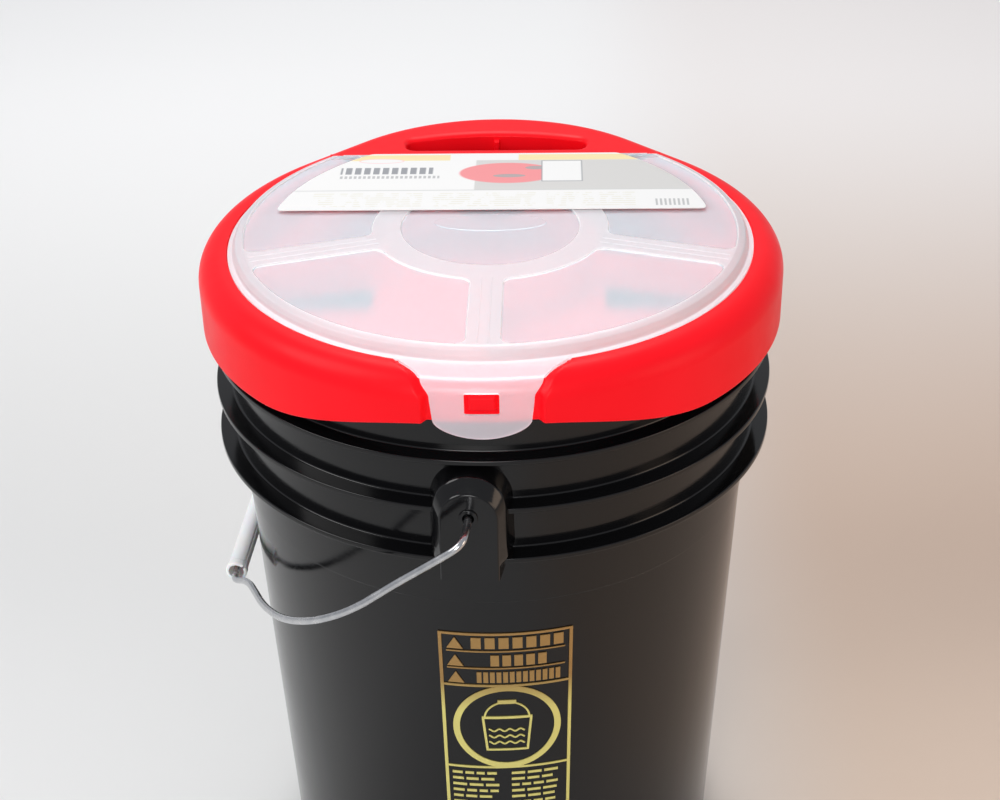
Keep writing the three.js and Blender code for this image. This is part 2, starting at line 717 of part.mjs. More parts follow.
function labelCard() {
  const corner = 6;
  const frontX = sqrt(cardRadius ** 2 - cardFrontY ** 2);
  const backAngle = Math.asin(cardBackY / cardRadius);
  const frontAngle = Math.asin((cardFrontY + corner) / cardRadius);
  const shape = new THREE.Shape();
  shape.moveTo(-frontX + corner, cardFrontY);
  shape.lineTo(frontX - corner, cardFrontY);
  shape.quadraticCurveTo(frontX, cardFrontY, cardRadius * cos(frontAngle), cardFrontY + corner);
  shape.absarc(0, 0, cardRadius, frontAngle, backAngle, false);
  shape.absarc(0, 0, cardRadius, PI - backAngle, PI - frontAngle, false);
  shape.quadraticCurveTo(-frontX, cardFrontY, -frontX + corner, cardFrontY);
  return prism(shape, coverTopZ + fitGap, coverTopZ + fitGap + cardThickness, 12);
}

// ---- the assembly ----

function piece(name, body, color, roughness, metalness = 0) {
  const material = new THREE.MeshStandardMaterial({ color, roughness, metalness });
  const mesh = new THREE.Mesh(toGeometry(body), material);
  mesh.name = name;
  return mesh;
}

const pail = new THREE.Group();
pail.rotation.z = earTurn;
pail.add(piece('bucket_wall', bucketWall(), 0x0b0b0d, 0.3));
pail.add(piece('bucket_collar', bucketCollar(), 0x0b0b0d, 0.3));
pail.add(piece('bucket_bottom', bucketBottom(), 0x0b0b0d, 0.3));
pail.add(piece('bail_wire', bailWire(), 0xb9bcc0, 0.3, 1));
pail.add(piece('bail_grip', bailGrip(), 0xf1f1ee, 0.5));

const lid = new THREE.Group();
lid.add(piece('seat_rim', seatRim(), 0xe81820, 0.4));
lid.add(piece('carry_handle', carryHandle(), 0xe81820, 0.4));
lid.add(piece('plug_ring', plugRing(), 0xe81820, 0.4));
lid.add(piece('tray_pan', trayPan(), 0xe81820, 0.4));
lid.add(piece('tray_dividers', trayDividers(), 0xe81820, 0.4));
lid.add(piece('cover', cover(), 0xeae2e6, 0.45));
lid.add(piece('latch_tab', latchTab(), 0xeae2e6, 0.45));
lid.add(piece('label_card', labelCard(), 0xf4f2ee, 0.6));

const bucket = new THREE.Group();
bucket.add(pail);
bucket.add(lid);

export default bucket;
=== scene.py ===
"""Looks of a ribbed pail with a wire bail, closed by a tray seat lid with a frosted hinged cover.

Lengths are in millimetres until a mesh is made, when MM turns them to metres. The latch tab faces -Y and the
lid's carrying handle faces +Y. The pail stands on z = 0 and is turned a little under the lid: its pieces are
made straight and turned by PAIL_TURN.
"""

import json
from math import acos, asin, atan2, cos, degrees, pi, radians, sin, sqrt

import bmesh
import bpy
from mathutils import Matrix, Vector


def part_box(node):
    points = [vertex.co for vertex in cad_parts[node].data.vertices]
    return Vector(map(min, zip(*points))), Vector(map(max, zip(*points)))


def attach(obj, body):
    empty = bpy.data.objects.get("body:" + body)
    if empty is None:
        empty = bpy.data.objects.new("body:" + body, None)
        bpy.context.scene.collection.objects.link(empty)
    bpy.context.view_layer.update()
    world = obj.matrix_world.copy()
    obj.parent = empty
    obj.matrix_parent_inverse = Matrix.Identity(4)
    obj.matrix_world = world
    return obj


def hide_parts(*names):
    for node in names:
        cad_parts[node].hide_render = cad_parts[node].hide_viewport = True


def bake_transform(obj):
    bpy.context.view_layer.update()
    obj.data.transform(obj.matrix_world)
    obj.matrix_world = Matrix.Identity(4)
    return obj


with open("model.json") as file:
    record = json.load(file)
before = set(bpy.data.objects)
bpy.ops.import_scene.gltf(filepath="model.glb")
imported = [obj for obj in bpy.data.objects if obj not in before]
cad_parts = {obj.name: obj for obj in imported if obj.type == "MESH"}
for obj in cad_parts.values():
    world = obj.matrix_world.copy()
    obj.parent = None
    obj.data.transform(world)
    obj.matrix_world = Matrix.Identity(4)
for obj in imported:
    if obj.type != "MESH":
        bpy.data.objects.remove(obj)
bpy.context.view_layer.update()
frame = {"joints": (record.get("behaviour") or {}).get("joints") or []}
joints = {joint["name"]: joint for joint in frame["joints"]}

MM = 0.001

PAIL_NODES = ["bucket_wall", "bucket_collar", "bucket_bottom"]
LID_NODES = ["seat_rim", "carry_handle", "plug_ring", "tray_pan", "tray_dividers"]
COVER_NODES = ["cover", "latch_tab"]


def low(node):
    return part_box(node)[0] / MM


def high(node):
    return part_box(node)[1] / MM


def pivot(joint):
    return Vector(joints[joint]["pos_m"]) / MM


# ---- sizes ----

# pail
RIM_Z = high("bucket_collar").z
EAR_AXIS = Vector(joints["bail_swing"]["axis"])
PAIL_TURN = -atan2(EAR_AXIS.x, EAR_AXIS.y)
FOOT_RADIUS = 128.2
WALL_TOP_Z = 286
WALL_TOP_RADIUS = 141
STEP_Z = 253.5
STEP_DEPTH = 0.6
WALL = 2.3
COLLAR_RADIUS = 143
RIM_RADIUS = 145.6
RIM_INNER_RADIUS = 140.6
BOTTOM_Z = 8
RIBS = [(286, 152.1), (314.9, 151.5), (341.8, 150.6)]
RIB_THICKNESS = 2.8
HUB_RADIUS = 18
FOOT_RIBS = 8

# ears
EAR_AXIS_Z = pivot("bail_swing").z
EAR_FACE_RADIUS = 160
EAR_FACE_HALF_WIDTH = 14.2
EAR_FACE_TOP_Z = 331.4
EAR_BOTTOM_Z = 282
EAR_WALL = 3

# bail
WIRE_RADIUS = 1.9
GRIP_CENTRE = pivot("grip_spin")
GRIP_RADIUS = 6
GRIP_HALF_LENGTH = 54

# seat lid
LID_RADIUS = 155
HANDLE_RADIUS = 114.2
HANDLE_Y = high("carry_handle").y - HANDLE_RADIUS - 0.05
LID_TOP_Z = 391
SHOULDER = 13
SKIRT_Z = low("seat_rim").z
SKIRT_RISE = 14.8
SKIRT_RISE_FROM = 8
SKIRT_RISE_TO = 46
SKIRT_WALL = 2.6
PLATE_Z = 386.6
LEDGE_Z = 389.1
TRAY_RADIUS = 131
TRAY_BACK_Y = 97
TRAY_FLOOR_Z = 372
TRAY_WALL = 2.4
DIVIDER_TOP_Z = 388.8
DIVIDER_HALF = 1.5
CUP_RADIUS = 55
SPOKE_STEP = 2 * pi / 5
PLUG_RADIUS = 139.2
PLUG_LOW_Z = 357
LANDING_RADIUS = 144.6
LANDING_GAP = 0.4
SLOT_HALF_LENGTH = 53
SLOT_FRONT_Y = 116.7
SLOT_OUTER_RADIUS = 141
SLOT_CORNER = 7
DROP_X = (60, 126)
DROP_FRONT_Y = -50
RECESS_HALF_WIDTH = 30
RECESS_WIDE_HALF_WIDTH = 41
RECESS_STEP = 2.3
RECESS_INSET = 4
RECESS_ROUND = 1.3

# cover, hinge and tab
HINGE = pivot("cover_open")
COVER_RADIUS = 138.9
COVER_TOP_Z = high("cover").z
COVER_EDGE_Z = 391
COVER_THICKNESS = 2
COVER_FLAT_RADIUS = 131
WINDOW_RADIUS = 130.3
WINDOW_DEPTH = 0.8
WINDOW_CORNER = 6
BAND_HALF_WIDTH = 8.2
RING_INNER = 47.5
RING_OUTER = 62.5
KNUCKLE_RADIUS = 2.4
KNUCKLE_END = 88
STUB_RADIUS = 1.5
STUB_HOLE_RADIUS = 1.9
STUB_END = 92
LUG_RADIUS = 2.9
LUG_START = 89.6
LUG_END = 95.6
TAB_FACE_RADIUS = 157.6
TAB_THICKNESS = 1.6
TAB_TIP_Z = low("latch_tab").z
TAB_HALF_WIDTH = 24.5
TAB_TIP_HALF_WIDTH = 23.2
FLARE_HALF_WIDTH = 28.6
FLARE_WIDE_HALF_WIDTH = 39.5
FLARE_LEAD = 16
FLARE_LENGTH = 20
FLARE_POWER = 1.9
TAB_BEND = 6.5
TAB_WINDOW_Z = (374.3, 385.6)
TAB_WINDOW_HALF_WIDTH = 8.2

# card
CARD_RADIUS = 117.5
CARD_FRONT_Y = low("label_card").y
CARD_BACK_Y = high("label_card").y
CARD_CORNER = 6

# gold panel, as angles from the pail's front and heights
PANEL_TURN = radians(3.45)
PANEL_HALF_WIDTH = 35
PANEL_LIFT = 0.12
PANEL_RADIUS = 138
PANEL_TOP_Z = 232.6
PANEL_BOTTOM_Z = 92
PANEL_RULES_Z = (220.4, 208.9, 197, 138.5)
PANEL_RING_Z = 167.6
PANEL_RING_RADIUS = 29.3

# camera
LENS = 64.32
CAMERA_DISTANCE = 860.55
CAMERA_HEIGHT = 801.47
CAMERA_PITCH = 0.5373
CAMERA_YAW = 0.0039
CAMERA_ROLL = -0.0203
OBJECT_TURN = radians(2.1)


# ---- making meshes ----

def spaced(start, stop, step):
    """Numbers from start up to, and without, stop, about step apart."""
    count = max(1, round(abs(stop - start) / step))
    return [start + (stop - start) * i / count for i in range(count)]


def smooth(t):
    t = min(max(t, 0), 1)
    return t * t * (3 - 2 * t)


def mix(a, b, t):
    return a + (b - a) * t


def polar(radius, angle):
    return (radius * cos(angle), radius * sin(angle))


def place(name, data):
    piece = bpy.data.objects.new(name, data)
    bpy.context.scene.collection.objects.link(piece)
    return piece


def solid(name, verts, faces):
    """A mesh object with its faces turned outwards."""
    mesh = bpy.data.meshes.new(name)
    mesh.from_pydata([Vector(v) * MM for v in verts], [], faces)
    shape = bmesh.new()
    shape.from_mesh(mesh)
    bmesh.ops.recalc_face_normals(shape, faces=shape.faces)
    shape.to_mesh(mesh)
    shape.free()
    return place(name, mesh)


def skin_faces(count, ring_count, wrap, first=0):
    """The faces over rings of count points each, capped at the ends or, with wrap, joined to themselves."""
    faces = []
    for r in range(ring_count - (0 if wrap else 1)):
        near, far = first + r * count, first + (r + 1) % ring_count * count
        for i in range(count):
            j = (i + 1) % count
            faces.append((near + i, near + j, far + j, far + i))
    if not wrap:
        faces.append(tuple(range(first, first + count)))
        faces.append(tuple(range(first + (ring_count - 1) * count, first + ring_count * count)))
    return faces


def skin(name, rings, wrap=False):
    """A closed solid over rings of equal point count."""
    faces = skin_faces(len(rings[0]), len(rings), wrap)
    return solid(name, [point for ring in rings for point in ring], faces)


def rounded(corners, closed=False, steps=4):
    """An outline through (x, y, radius) corners, each rounded by its radius. Without one it stays sharp."""
    made = []
    last = len(corners) - 1
    for i, corner in enumerate(corners):
        here = Vector(corner[:2])
        radius = corner[2] if len(corner) > 2 else 0
        if radius == 0 or (not closed and i in (0, last)):
            made.append(tuple(here))
            continue
        back = Vector(corners[i - 1][:2]) - here
        on = Vector(corners[(i + 1) % len(corners)][:2]) - here
        half = back.angle(on) / 2
        reach = min(radius / max(sin(half) / cos(half), 1e-3), 0.48 * back.length, 0.48 * on.length)
        start = here + back.normalized() * reach
        end = here + on.normalized() * reach
        for k in range(steps + 1):
            t = k / steps
            made.append(tuple(start * (1 - t) ** 2 + here * (2 * t * (1 - t)) + end * t * t))
    return made


def revolve(name, outline, segments=224, closed=False):
    """Turns an outline of (radius, z) points about Z. Open outlines are capped flat at both ends."""
    rings = [[(*polar(r, 2 * pi * i / segments), z) for i in range(segments)] for r, z in outline]
    return skin(name, rings, wrap=closed)


def upright(name, outline, rows):
    """Rings of outline(inset) at each (inset, z) row."""
    return skin(name, [[(x, y, z) for x, y in outline(inset)] for inset, z in rows])


def rectangle(near, far, radius=0):
    """The corners of a rectangle, each with its rounding radius."""
    (a, b), (c, d) = near, far
    return [(a, b, radius), (c, b, radius), (c, d, radius), (a, d, radius)]


def block(name, near, far, edge=0):
    """A box between two corners, its upright edges rounded by edge."""
    outline = rounded(rectangle(near[:2], far[:2], edge), closed=True)
    return skin(name, [[(x, y, z) for x, y in outline] for z in (near[2], far[2])])


def disc(radius, low_z, high_z, segments=240):
    return revolve("disc", [(radius, low_z), (radius, high_z)], segments)


def curl(lip, top, angles):
    """(inset, z) rows of an edge that rises to top and rolls out by lip, or in where lip is negative."""
    rise = abs(lip)
    return [(lip * (1 - cos(a)), top - rise + rise * sin(a)) for a in angles]


def front_of(y):
    """A block in front of y that is larger than the whole lid."""
    return block("front", (-200, -200, 300), (200, y, 500))


def turned(piece, angle, axis="Z"):
    piece.data.transform(Matrix.Rotation(angle, 4, axis))
    return piece


def moved(piece, x, y, z):
    piece.data.transform(Matrix.Translation(Vector((x, y, z)) * MM))
    return piece


def bake(piece):
    """Replaces a piece's mesh with what its modifiers make of it."""
    bpy.context.view_layer.update()
    graph = bpy.context.evaluated_depsgraph_get()
    mesh = bpy.data.meshes.new_from_object(piece.evaluated_get(graph))
    piece.modifiers.clear()
    piece.data = mesh
    return piece


def combine(piece, operation, others):
    for other in others:
        modifier = piece.modifiers.new("combine", "BOOLEAN")
        modifier.operation = operation
        modifier.solver = "MANIFOLD"
        modifier.object = other
    bake(piece)
    for other in others:
        bpy.data.objects.remove(other)
    return piece


def join(piece, *others):
    return combine(piece, "UNION", others)


def cut(piece, *others):
    return combine(piece, "DIFFERENCE", others)


def keep(piece, other):
    return combine(piece, "INTERSECT", [other])


def soften(piece, width, limit=40, segments=2):
    """Rounds the edges that are sharper than limit degrees."""
    bevel = piece.modifiers.new("soften", "BEVEL")
    bevel.width = width * MM
    bevel.segments = segments
    bevel.limit_method = "ANGLE"
    bevel.angle_limit = radians(limit)
    return bake(piece)


def finish_piece(piece, body, nodes, material, sharp=35):
    """Shades a piece, gives it its material and puts it on its body in place of its CAD nodes."""
    piece.data.shade_smooth()
    piece.data.set_sharp_from_angle(angle=radians(sharp))
    weighted = piece.modifiers.new("shading", "WEIGHTED_NORMAL")
    weighted.keep_sharp = True
    piece.data.materials.clear()
    piece.data.materials.append(material)
    if body:
        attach(piece, body)
    if nodes:
        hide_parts(*nodes)
    return piece


# ---- the camera ----

def make_camera():
    data = bpy.data.cameras.new("camera")
    data.lens = LENS
    camera = place("camera", data)
    aim = Matrix.Rotation(OBJECT_TURN - CAMERA_YAW, 4, "Z")
    aim = aim @ Matrix.Rotation(pi / 2 - CAMERA_PITCH, 4, "X") @ Matrix.Rotation(CAMERA_ROLL, 4, "Z")
    stand = Matrix.Rotation(OBJECT_TURN, 4, "Z") @ Vector((0, -CAMERA_DISTANCE, CAMERA_HEIGHT))
    camera.matrix_world = Matrix.Translation(stand * MM) @ aim
    bpy.context.scene.camera = camera


# ---- surfaces ----

class Field:
    """A value over a surface, held as a shader node's output. Arithmetic on it adds Math nodes."""

    def __init__(self, paint, socket):
        self.paint = paint
        self.socket = socket

    def math(self, operation, other=0.0):
        return self.paint.add("Math", {0: self, 1: other}, operation=operation)

    def __add__(self, other):
        return self.math("ADD", other)

    def __sub__(self, other):
        return self.math("SUBTRACT", other)

    def __rsub__(self, other):
        return self.paint.add("Math", {0: other, 1: self}, operation="SUBTRACT")

    def __mul__(self, other):
        return self.math("MULTIPLY", other)

    def __truediv__(self, other):
        return self.math("DIVIDE", other)

    def ramp(self, from_low, from_high, to_low, to_high, **options):
        ends = {1: from_low, 2: from_high, 3: to_low, 4: to_high}
        return self.paint.add("MapRange", {0: self, **ends}, **options)

    def ease(self, start, end):
        """A smooth step from 0 at start to 1 at end."""
        return self.ramp(start, end, 0.0, 1.0, interpolation_type="SMOOTHSTEP")

    def within(self, near, far):
        """1 where the value lies between near and far, and 0 elsewhere."""
        edge = 0.35
        return self.ramp(near - edge, near + edge, 0, 1) * self.ramp(far - edge, far + edge, 1, 0)

    def stripes(self, pitch, share):
        """Even stripes that cover a share of the surface, 1 on a stripe and 0 between two."""
        return (self / pitch).math("FRACT").ramp(share - 0.06, share + 0.06, 1, 0)


class Paint:
    """A node material and its Principled shader, with sockets set by their names in lower case."""

    def __init__(self, name, **sockets):
        self.material = bpy.data.materials.new(name)
        self.material.use_nodes = True
        self.tree = self.material.node_tree
        self.shader = self.tree.nodes["Principled BSDF"]
        for socket, value in sockets.items():
            self.feed(value, self.shader.inputs[socket.replace("_", " ").title().replace("Ior", "IOR")])

    def feed(self, value, socket):
        if isinstance(value, Field):
            self.tree.links.new(value.socket, socket)
        else:
            socket.default_value = value

    def add(self, kind, inputs, output=0, **options):
        """Adds a shader node, links or sets its inputs, and returns one of its outputs."""
        node = self.tree.nodes.new("ShaderNode" + kind)
        for option, value in options.items():
            setattr(node, option, value)
        for socket, value in inputs.items():
            self.feed(value, node.inputs[socket])
        return Field(self, node.outputs[output])

    def link(self, field, socket):
        self.feed(field, self.shader.inputs[socket])

    def point(self):
        """The surface point in the object's own frame, in metres."""
        return self.add("TexCoord", {}, 3)

    def xyz(self):
        """The surface point in the object's own frame, in millimetres, as x, y and z."""
        point = self.point()
        return [self.add("SeparateXYZ", {0: point}, i) * (1 / MM) for i in range(3)]

    def speckle(self, scale, detail=2.0, stretch=None):
        """Noise over the surface, scale features to a metre, drawn out along the axes of stretch."""
        point = self.point()
        if stretch:
            point = self.add("Mapping", {0: point, 3: stretch})
        return self.add("TexNoise", {"Vector": point, "Scale": scale, "Detail": detail})

    def blend(self, factor, below, above):
        return self.add("Mix", {0: factor, 6: below, 7: above}, 2, data_type="RGBA")

    def mottle(self, noise, below, above):
        self.link(self.blend(noise.ramp(0.35, 0.65, 0, 1), below, above), "Base Color")

    def bump(self, height, distance):
        made = self.add("Bump", {"Height": height, "Distance": distance * MM, "Strength": 1.0})
        self.link(made, "Normal")


def red_plastic():
    paint = Paint(
        "red_plastic", specular_ior_level=0.12,
        subsurface_weight=0.05, subsurface_scale=0.004, subsurface_radius=(1.0, 0.25, 0.2))
    patches = paint.speckle(14)
    paint.mottle(patches, (0.94, 0.005, 0.012, 1), (0.98, 0.007, 0.016, 1))
    paint.link(paint.speckle(70, 4).ramp(0.3, 0.7, 0.34, 0.42), "Roughness")
    paint.bump(paint.speckle(2400, 3) + patches * 6.0, 0.012)
    return paint.material


def black_plastic():
    paint = Paint("black_plastic", base_color=(0.003, 0.003, 0.0035, 1), specular_ior_level=0.38)
    x, y, z = paint.xyz()
    around = paint.add("CombineXYZ", {0: y.math("ARCTAN2", x) * 2.0, 1: z, 2: 0.0})
    streaks = paint.add("TexNoise", {"Vector": around, "Scale": 1.6, "Detail": 5.0})
    cloud = paint.speckle(18, 3)
    paint.link(streaks.ramp(0.35, 0.75, 0.08, 0.17) + cloud.ramp(0.35, 0.7, 0.0, 0.06), "Roughness")
    paint.bump(paint.speckle(9) + streaks * 0.05, 0.3)
    return paint.material


def gold_print():
    paint = Paint("gold_print", metallic=0.75)
    # Painted reflection: the print is yellow low down and painted a darker bronze towards its top, standing
    # for the shade under the ribs reflected in the gold.
    height = paint.xyz()[2].ramp(178, 200, 0, 1)
    paint.link(paint.blend(height, (0.86, 0.78, 0.26, 1), (0.42, 0.25, 0.09, 1)), "Base Color")
    paint.link(paint.speckle(120, 3).ramp(0.3, 0.7, 0.3, 0.42), "Roughness")
    paint.bump(paint.speckle(1800, 3), 0.01)
    return paint.material


def zinc_wire():
    paint = Paint("zinc_wire", metallic=1.0)
    cloud = paint.speckle(160, 4)
    paint.mottle(cloud, (0.50, 0.51, 0.53, 1), (0.62, 0.62, 0.63, 1))
    paint.link(cloud.ramp(0.3, 0.7, 0.18, 0.3), "Roughness")
    paint.bump(paint.speckle(500, 2), 0.012)
    return paint.material


def white_plastic():
    paint = Paint("white_plastic", roughness=0.4, subsurface_weight=0.3, subsurface_scale=0.003)
    paint.mottle(paint.speckle(40), (0.93, 0.93, 0.94, 1), (0.97, 0.97, 0.97, 1))
    paint.bump(paint.speckle(1500, 3), 0.015)
    return paint.material


def printed_card():
    """A plain card print: grey blocks for a headline, a rosy oval, a white box and faint rows."""
    paint = Paint("printed_card", roughness=0.38)
    x, y, _ = paint.xyz()

    def box(across, along):
        return x.within(*across) * y.within(*along)

    def oval(centre, radii):
        a = (x - centre[0]) / radii[0]
        b = (y - centre[1]) / radii[1]
        return (a * a + b * b).ramp(0.94, 1.06, 1, 0)

    paper = (0.86, 0.855, 0.84, 1)
    ink = (0.30, 0.31, 0.33, 1)
    grey_ink = (0.5, 0.5, 0.5, 1)
    gold = (0.88, 0.74, 0.40, 1)
    dark = (0.42, 0.36, 0.36, 1)
    layers = [
        (box((-10, 120), (43, 84)), (0.64, 0.63, 0.61, 1)),
        (box((-84, -25), (84, 92)), gold),
        (box((14, 84), (84, 92)), gold),
        (oval((-64, 83.5), (13, 3.4)), (0.90, 0.62, 0.62, 1)),
        (oval((-64, 83.5), (12, 2.6)), paper),
        (oval((8, 66), (27, 14)), (0.86, 0.28, 0.29, 1)),
        (oval((24, 73), (6, 2.4)), dark),
        (oval((9, 62), (9, 2.2)), dark),
        (box((27, 50), (54, 83)), ink),
        (box((27.6, 49.4), (54.8, 82.4)), paper),
        (box((-86, -34), (65, 74)) * x.stripes(5.2, 0.68), ink),
        (box((-86, -30), (59, 62.5)) * x.stripes(2.6, 0.6), grey_ink),
        (box((-120, 120), (42.4, 43.2)), (0.55, 0.55, 0.54, 1)),
    ]
    faint = y.stripes(2.7, 0.5) * paint.speckle(260, 2, (1, 0.4, 1)).ramp(0.46, 0.54, 0, 0.4)
    for across in ((-98, -38), (-32, 24), (30, 78)):
        layers.append((box(across, (21, 40)) * faint, (0.70, 0.67, 0.52, 1)))
    layers.append((box((88, 107), (21.5, 30)) * x.stripes(2.4, 0.5), grey_ink))
    colour = paper
    for mask, print_colour in layers:
        colour = paint.blend(mask, colour, print_colour)
    paint.link(colour, "Base Color")
    paint.bump(paint.speckle(1200, 3), 0.01)
    return paint.material


def window_mask(x, y):
    """1 on the cover's clearer windows and 0 on its ring, spokes and rim."""
    fade = 0.4
    radius = (x * x + y * y).math("SQRT")
    turn = x.math("ARCTAN2", y * -1.0) / SPOKE_STEP
    nearest = (turn - turn.math("ROUND")) * SPOKE_STEP
    across = (radius * nearest.math("SINE")).math("ABSOLUTE") - BAND_HALF_WIDTH
    along = (radius - RING_OUTER).math("MINIMUM", WINDOW_RADIUS - radius)
    a, b = [(WINDOW_CORNER - depth).math("MAXIMUM", 0.0) for depth in (across, along)]
    inside = WINDOW_CORNER - (a * a + b * b).math("SQRT")
    centre = radius.ramp(RING_INNER - fade, RING_INNER + fade, 1, 0)
    field = inside.ramp(-fade, fade, 0, 1).math("MAXIMUM", centre)
    return field * y.ramp(TRAY_BACK_Y - 1.5, TRAY_BACK_Y - 0.7, 1, 0)


def frosted_plastic():
    paint = Paint("frosted_plastic", ior=1.42)
    x, y, _ = paint.xyz()
    mask = window_mask(x, y)
    # A lighter, cloudier line is painted along each window's edge as a painted highlight.
    edge = mask * (1.0 - mask) * 4.0
    # The tab gets a lighter, rosier colour than the rest of the same plastic: painted light on its face and a
    # painted red glow from the recess behind it.
    tab = y.ramp(-COVER_RADIUS - 2, -COVER_RADIUS, 1, 0)
    colour = paint.blend(mask, (0.75, 0.76, 0.79, 1), (0.72, 0.84, 0.90, 1))
    colour = paint.blend(edge, colour, (0.86, 0.85, 0.86, 1))
    paint.link(paint.blend(tab, colour, (0.82, 0.78, 0.83, 1)), "Base Color")
    sheet = tab.ramp(0, 1, 0.46, 0.64)
    paint.link(mask.ramp(0, 1, sheet, 0.68) * edge.ramp(0, 1, 1, 0.45), "Transmission Weight")
    paint.link(mask.ramp(0, 1, 0.36, 0.16), "Roughness")
    paint.bump(paint.speckle(2600, 3) + paint.speckle(12) * 4.0, 0.012)
    return paint.material


# ---- the pail ----

def wall_radius(z):
    return FOOT_RADIUS + (WALL_TOP_RADIUS - FOOT_RADIUS) * z / WALL_TOP_Z


def pail_outline():
    outline = [(HUB_RADIUS / 2, BOTTOM_Z), (FOOT_RADIUS - 3.2, BOTTOM_Z, 2), (FOOT_RADIUS - 3.2, 0.6, 0.5)]
    outline += [(FOOT_RADIUS - 2.4, 0, 0.4), (FOOT_RADIUS - 0.6, 0, 0.6), (wall_radius(1.4), 1.4, 1)]
    outline += [(wall_radius(STEP_Z) - STEP_DEPTH, STEP_Z - 0.6, 0.4), (wall_radius(STEP_Z), STEP_Z, 0.4)]
    for z, radius in RIBS:
        root = wall_radius(z) if z < WALL_TOP_Z + 1 else COLLAR_RADIUS
        outline += [(root, z - 0.8, 1.2), (radius, z, 0.9), (radius - 0.2, z + RIB_THICKNESS, 0.7)]
        outline += [(COLLAR_RADIUS, z + RIB_THICKNESS + 0.8, 1.2)]
    outline += [(COLLAR_RADIUS, RIM_Z - 6, 0.8), (RIM_RADIUS, RIM_Z - 5, 0.8), (RIM_RADIUS, RIM_Z, 1.2)]
    outline += [(RIM_INNER_RADIUS, RIM_Z, 1), (COLLAR_RADIUS - WALL, WALL_TOP_Z + 2, 8)]
    outline += [(wall_radius(BOTTOM_Z) - WALL, BOTTOM_Z + WALL, 6), (HUB_RADIUS / 2, BOTTOM_Z + WALL)]
    return rounded(outline)


def ear_ring(widths, top, y, bottom=EAR_BOTTOM_Z):
    """The ear's section at y, seen from outside. It widens to a knee, narrows and ends in a round arch."""
    foot, knee, arch = widths
    side = rounded([(foot, bottom), (foot, 287, 2), (knee, 292.5, 4), (knee, 298, 4), (arch, 311)], steps=5)
    ring = [(x, y, z) for x, z in side[:-1]]
    steps = 36
    for i in range(steps + 1):
        x, z = polar(arch, pi * i / steps)
        ring.append((x, y, top - arch + z))
    return ring + [(-x, y, z) for x, z in reversed(side[:-1])]


def ear_boss():
    face = EAR_FACE_HALF_WIDTH
    top = EAR_FACE_TOP_Z
    rings = [
        ear_ring((17, 21, 20.5), top + 9, -(COLLAR_RADIUS - 3)),
        ear_ring((15.6, 19.2, 18.2), top + 7.4, -(EAR_FACE_RADIUS - 8.5)),
        ear_ring((15.4, 18.4, 17.9), top + 6.9, -(EAR_FACE_RADIUS - 6.5)),
        ear_ring((15.2, 17.6, 17.4), top + 6.2, -(EAR_FACE_RADIUS - 5)),
    ]
    for inset, depth in ((-0.4, 1.1), (-0.2, 0.65), (0.05, 0.3), (0.4, 0.08), (0.9, 0)):
        rings.append(ear_ring((face - inset,) * 3, top + 0.4 - inset, -(EAR_FACE_RADIUS - depth)))
    return skin("ear", rings)


def ear_hollow():
    width = (EAR_FACE_HALF_WIDTH - EAR_WALL,) * 3
    depths = (-(COLLAR_RADIUS + 0.6), -(EAR_FACE_RADIUS - EAR_WALL))
    return skin("hollow", [ear_ring(width, EAR_FACE_TOP_Z - EAR_WALL, y, EAR_BOTTOM_Z - 5) for y in depths])


def ear_collar():
    """The raised collar round the wire's hole, and the hole's flared mouth to cut through it."""
    face = EAR_FACE_RADIUS
    collar = rounded([(1, face - 1), (4.8, face - 1), (4.6, face + 0.9, 0.5), (1, face + 0.9)])
    hole = rounded([
        (2.9, face + 2), (2.9, face + 0.6, 0.3), (2.3, face - 0.2, 0.4), (2.3, face - EAR_WALL - 2)])
    pieces = []
    for name, outline in (("collar", collar), ("hole", hole)):
        piece = turned(revolve(name, outline, 48), pi / 2, "X")
        pieces.append(moved(piece, 0, 0, EAR_AXIS_Z))
    return pieces


def bucket():
    shell = revolve("pail", pail_outline(), 288)
    hub = rounded([(1, 0), (HUB_RADIUS, 0, 0.8), (HUB_RADIUS, BOTTOM_Z + 1), (1, BOTTOM_Z + 1)])
    shell = join(shell, revolve("hub", hub, 96))
    ribs = []
    for i in range(FOOT_RIBS):
        rib = block("foot_rib", (HUB_RADIUS - 2, -1.2, 0.6), (FOOT_RADIUS - 2.6, 1.2, BOTTOM_Z + 1), 0.5)
        ribs.append(turned(rib, 2 * pi * i / FOOT_RIBS))
    shell = join(shell, *ribs)
    bosses = []
    cuts = []
    for side in (0, pi):
        collar, hole = ear_collar()
        bosses += [turned(ear_boss(), side), turned(collar, side)]
        cuts += [turned(ear_hollow(), side), turned(hole, side)]
    shell = cut(join(shell, *bosses), *cuts)
    shell.name = "pail"
    return turned(shell, PAIL_TURN)


# ---- the gold panel on the pail ----

def wall_point(along, z, lift):
    """A point on the pail's wall, along mm round it from the panel's middle."""
    angle = PANEL_TURN + along / PANEL_RADIUS
    radius = wall_radius(z) + lift
    return (radius * sin(angle), -radius * cos(angle), z)


def ribbon(path, width, wrap=False):
    """Sections of a thin strip on the wall. Its path is (along, z) points, or (along, z, width) ones."""
    rings = []
    for i, point in enumerate(path):
        here = Vector(point[:2])
        back = path[i - 1] if wrap or i else point
        on = path[(i + 1) % len(path)] if wrap or i < len(path) - 1 else point
        way = (Vector(on[:2]) - Vector(back[:2])).normalized()
        half = (point[2] if len(point) > 2 else width) / 2
        across = Vector((-way.y, way.x)) * half
        a, b = here + across, here - across
        rings.append([
            wall_point(a.x, a.y, PANEL_LIFT), wall_point(b.x, b.y, PANEL_LIFT),
            wall_point(b.x, b.y, -0.4), wall_point(a.x, a.y, -0.4),
        ])
    return rings, wrap


def level(start, end, z, width, step=3):
    return ribbon([(along, z) for along in spaced(start, end, step) + [end]], width)


def oval_path(radius, rise, z, steps=72):
    return [(radius * cos(a), z + rise * sin(a)) for a in spaced(0, 2 * pi, 2 * pi / steps)]


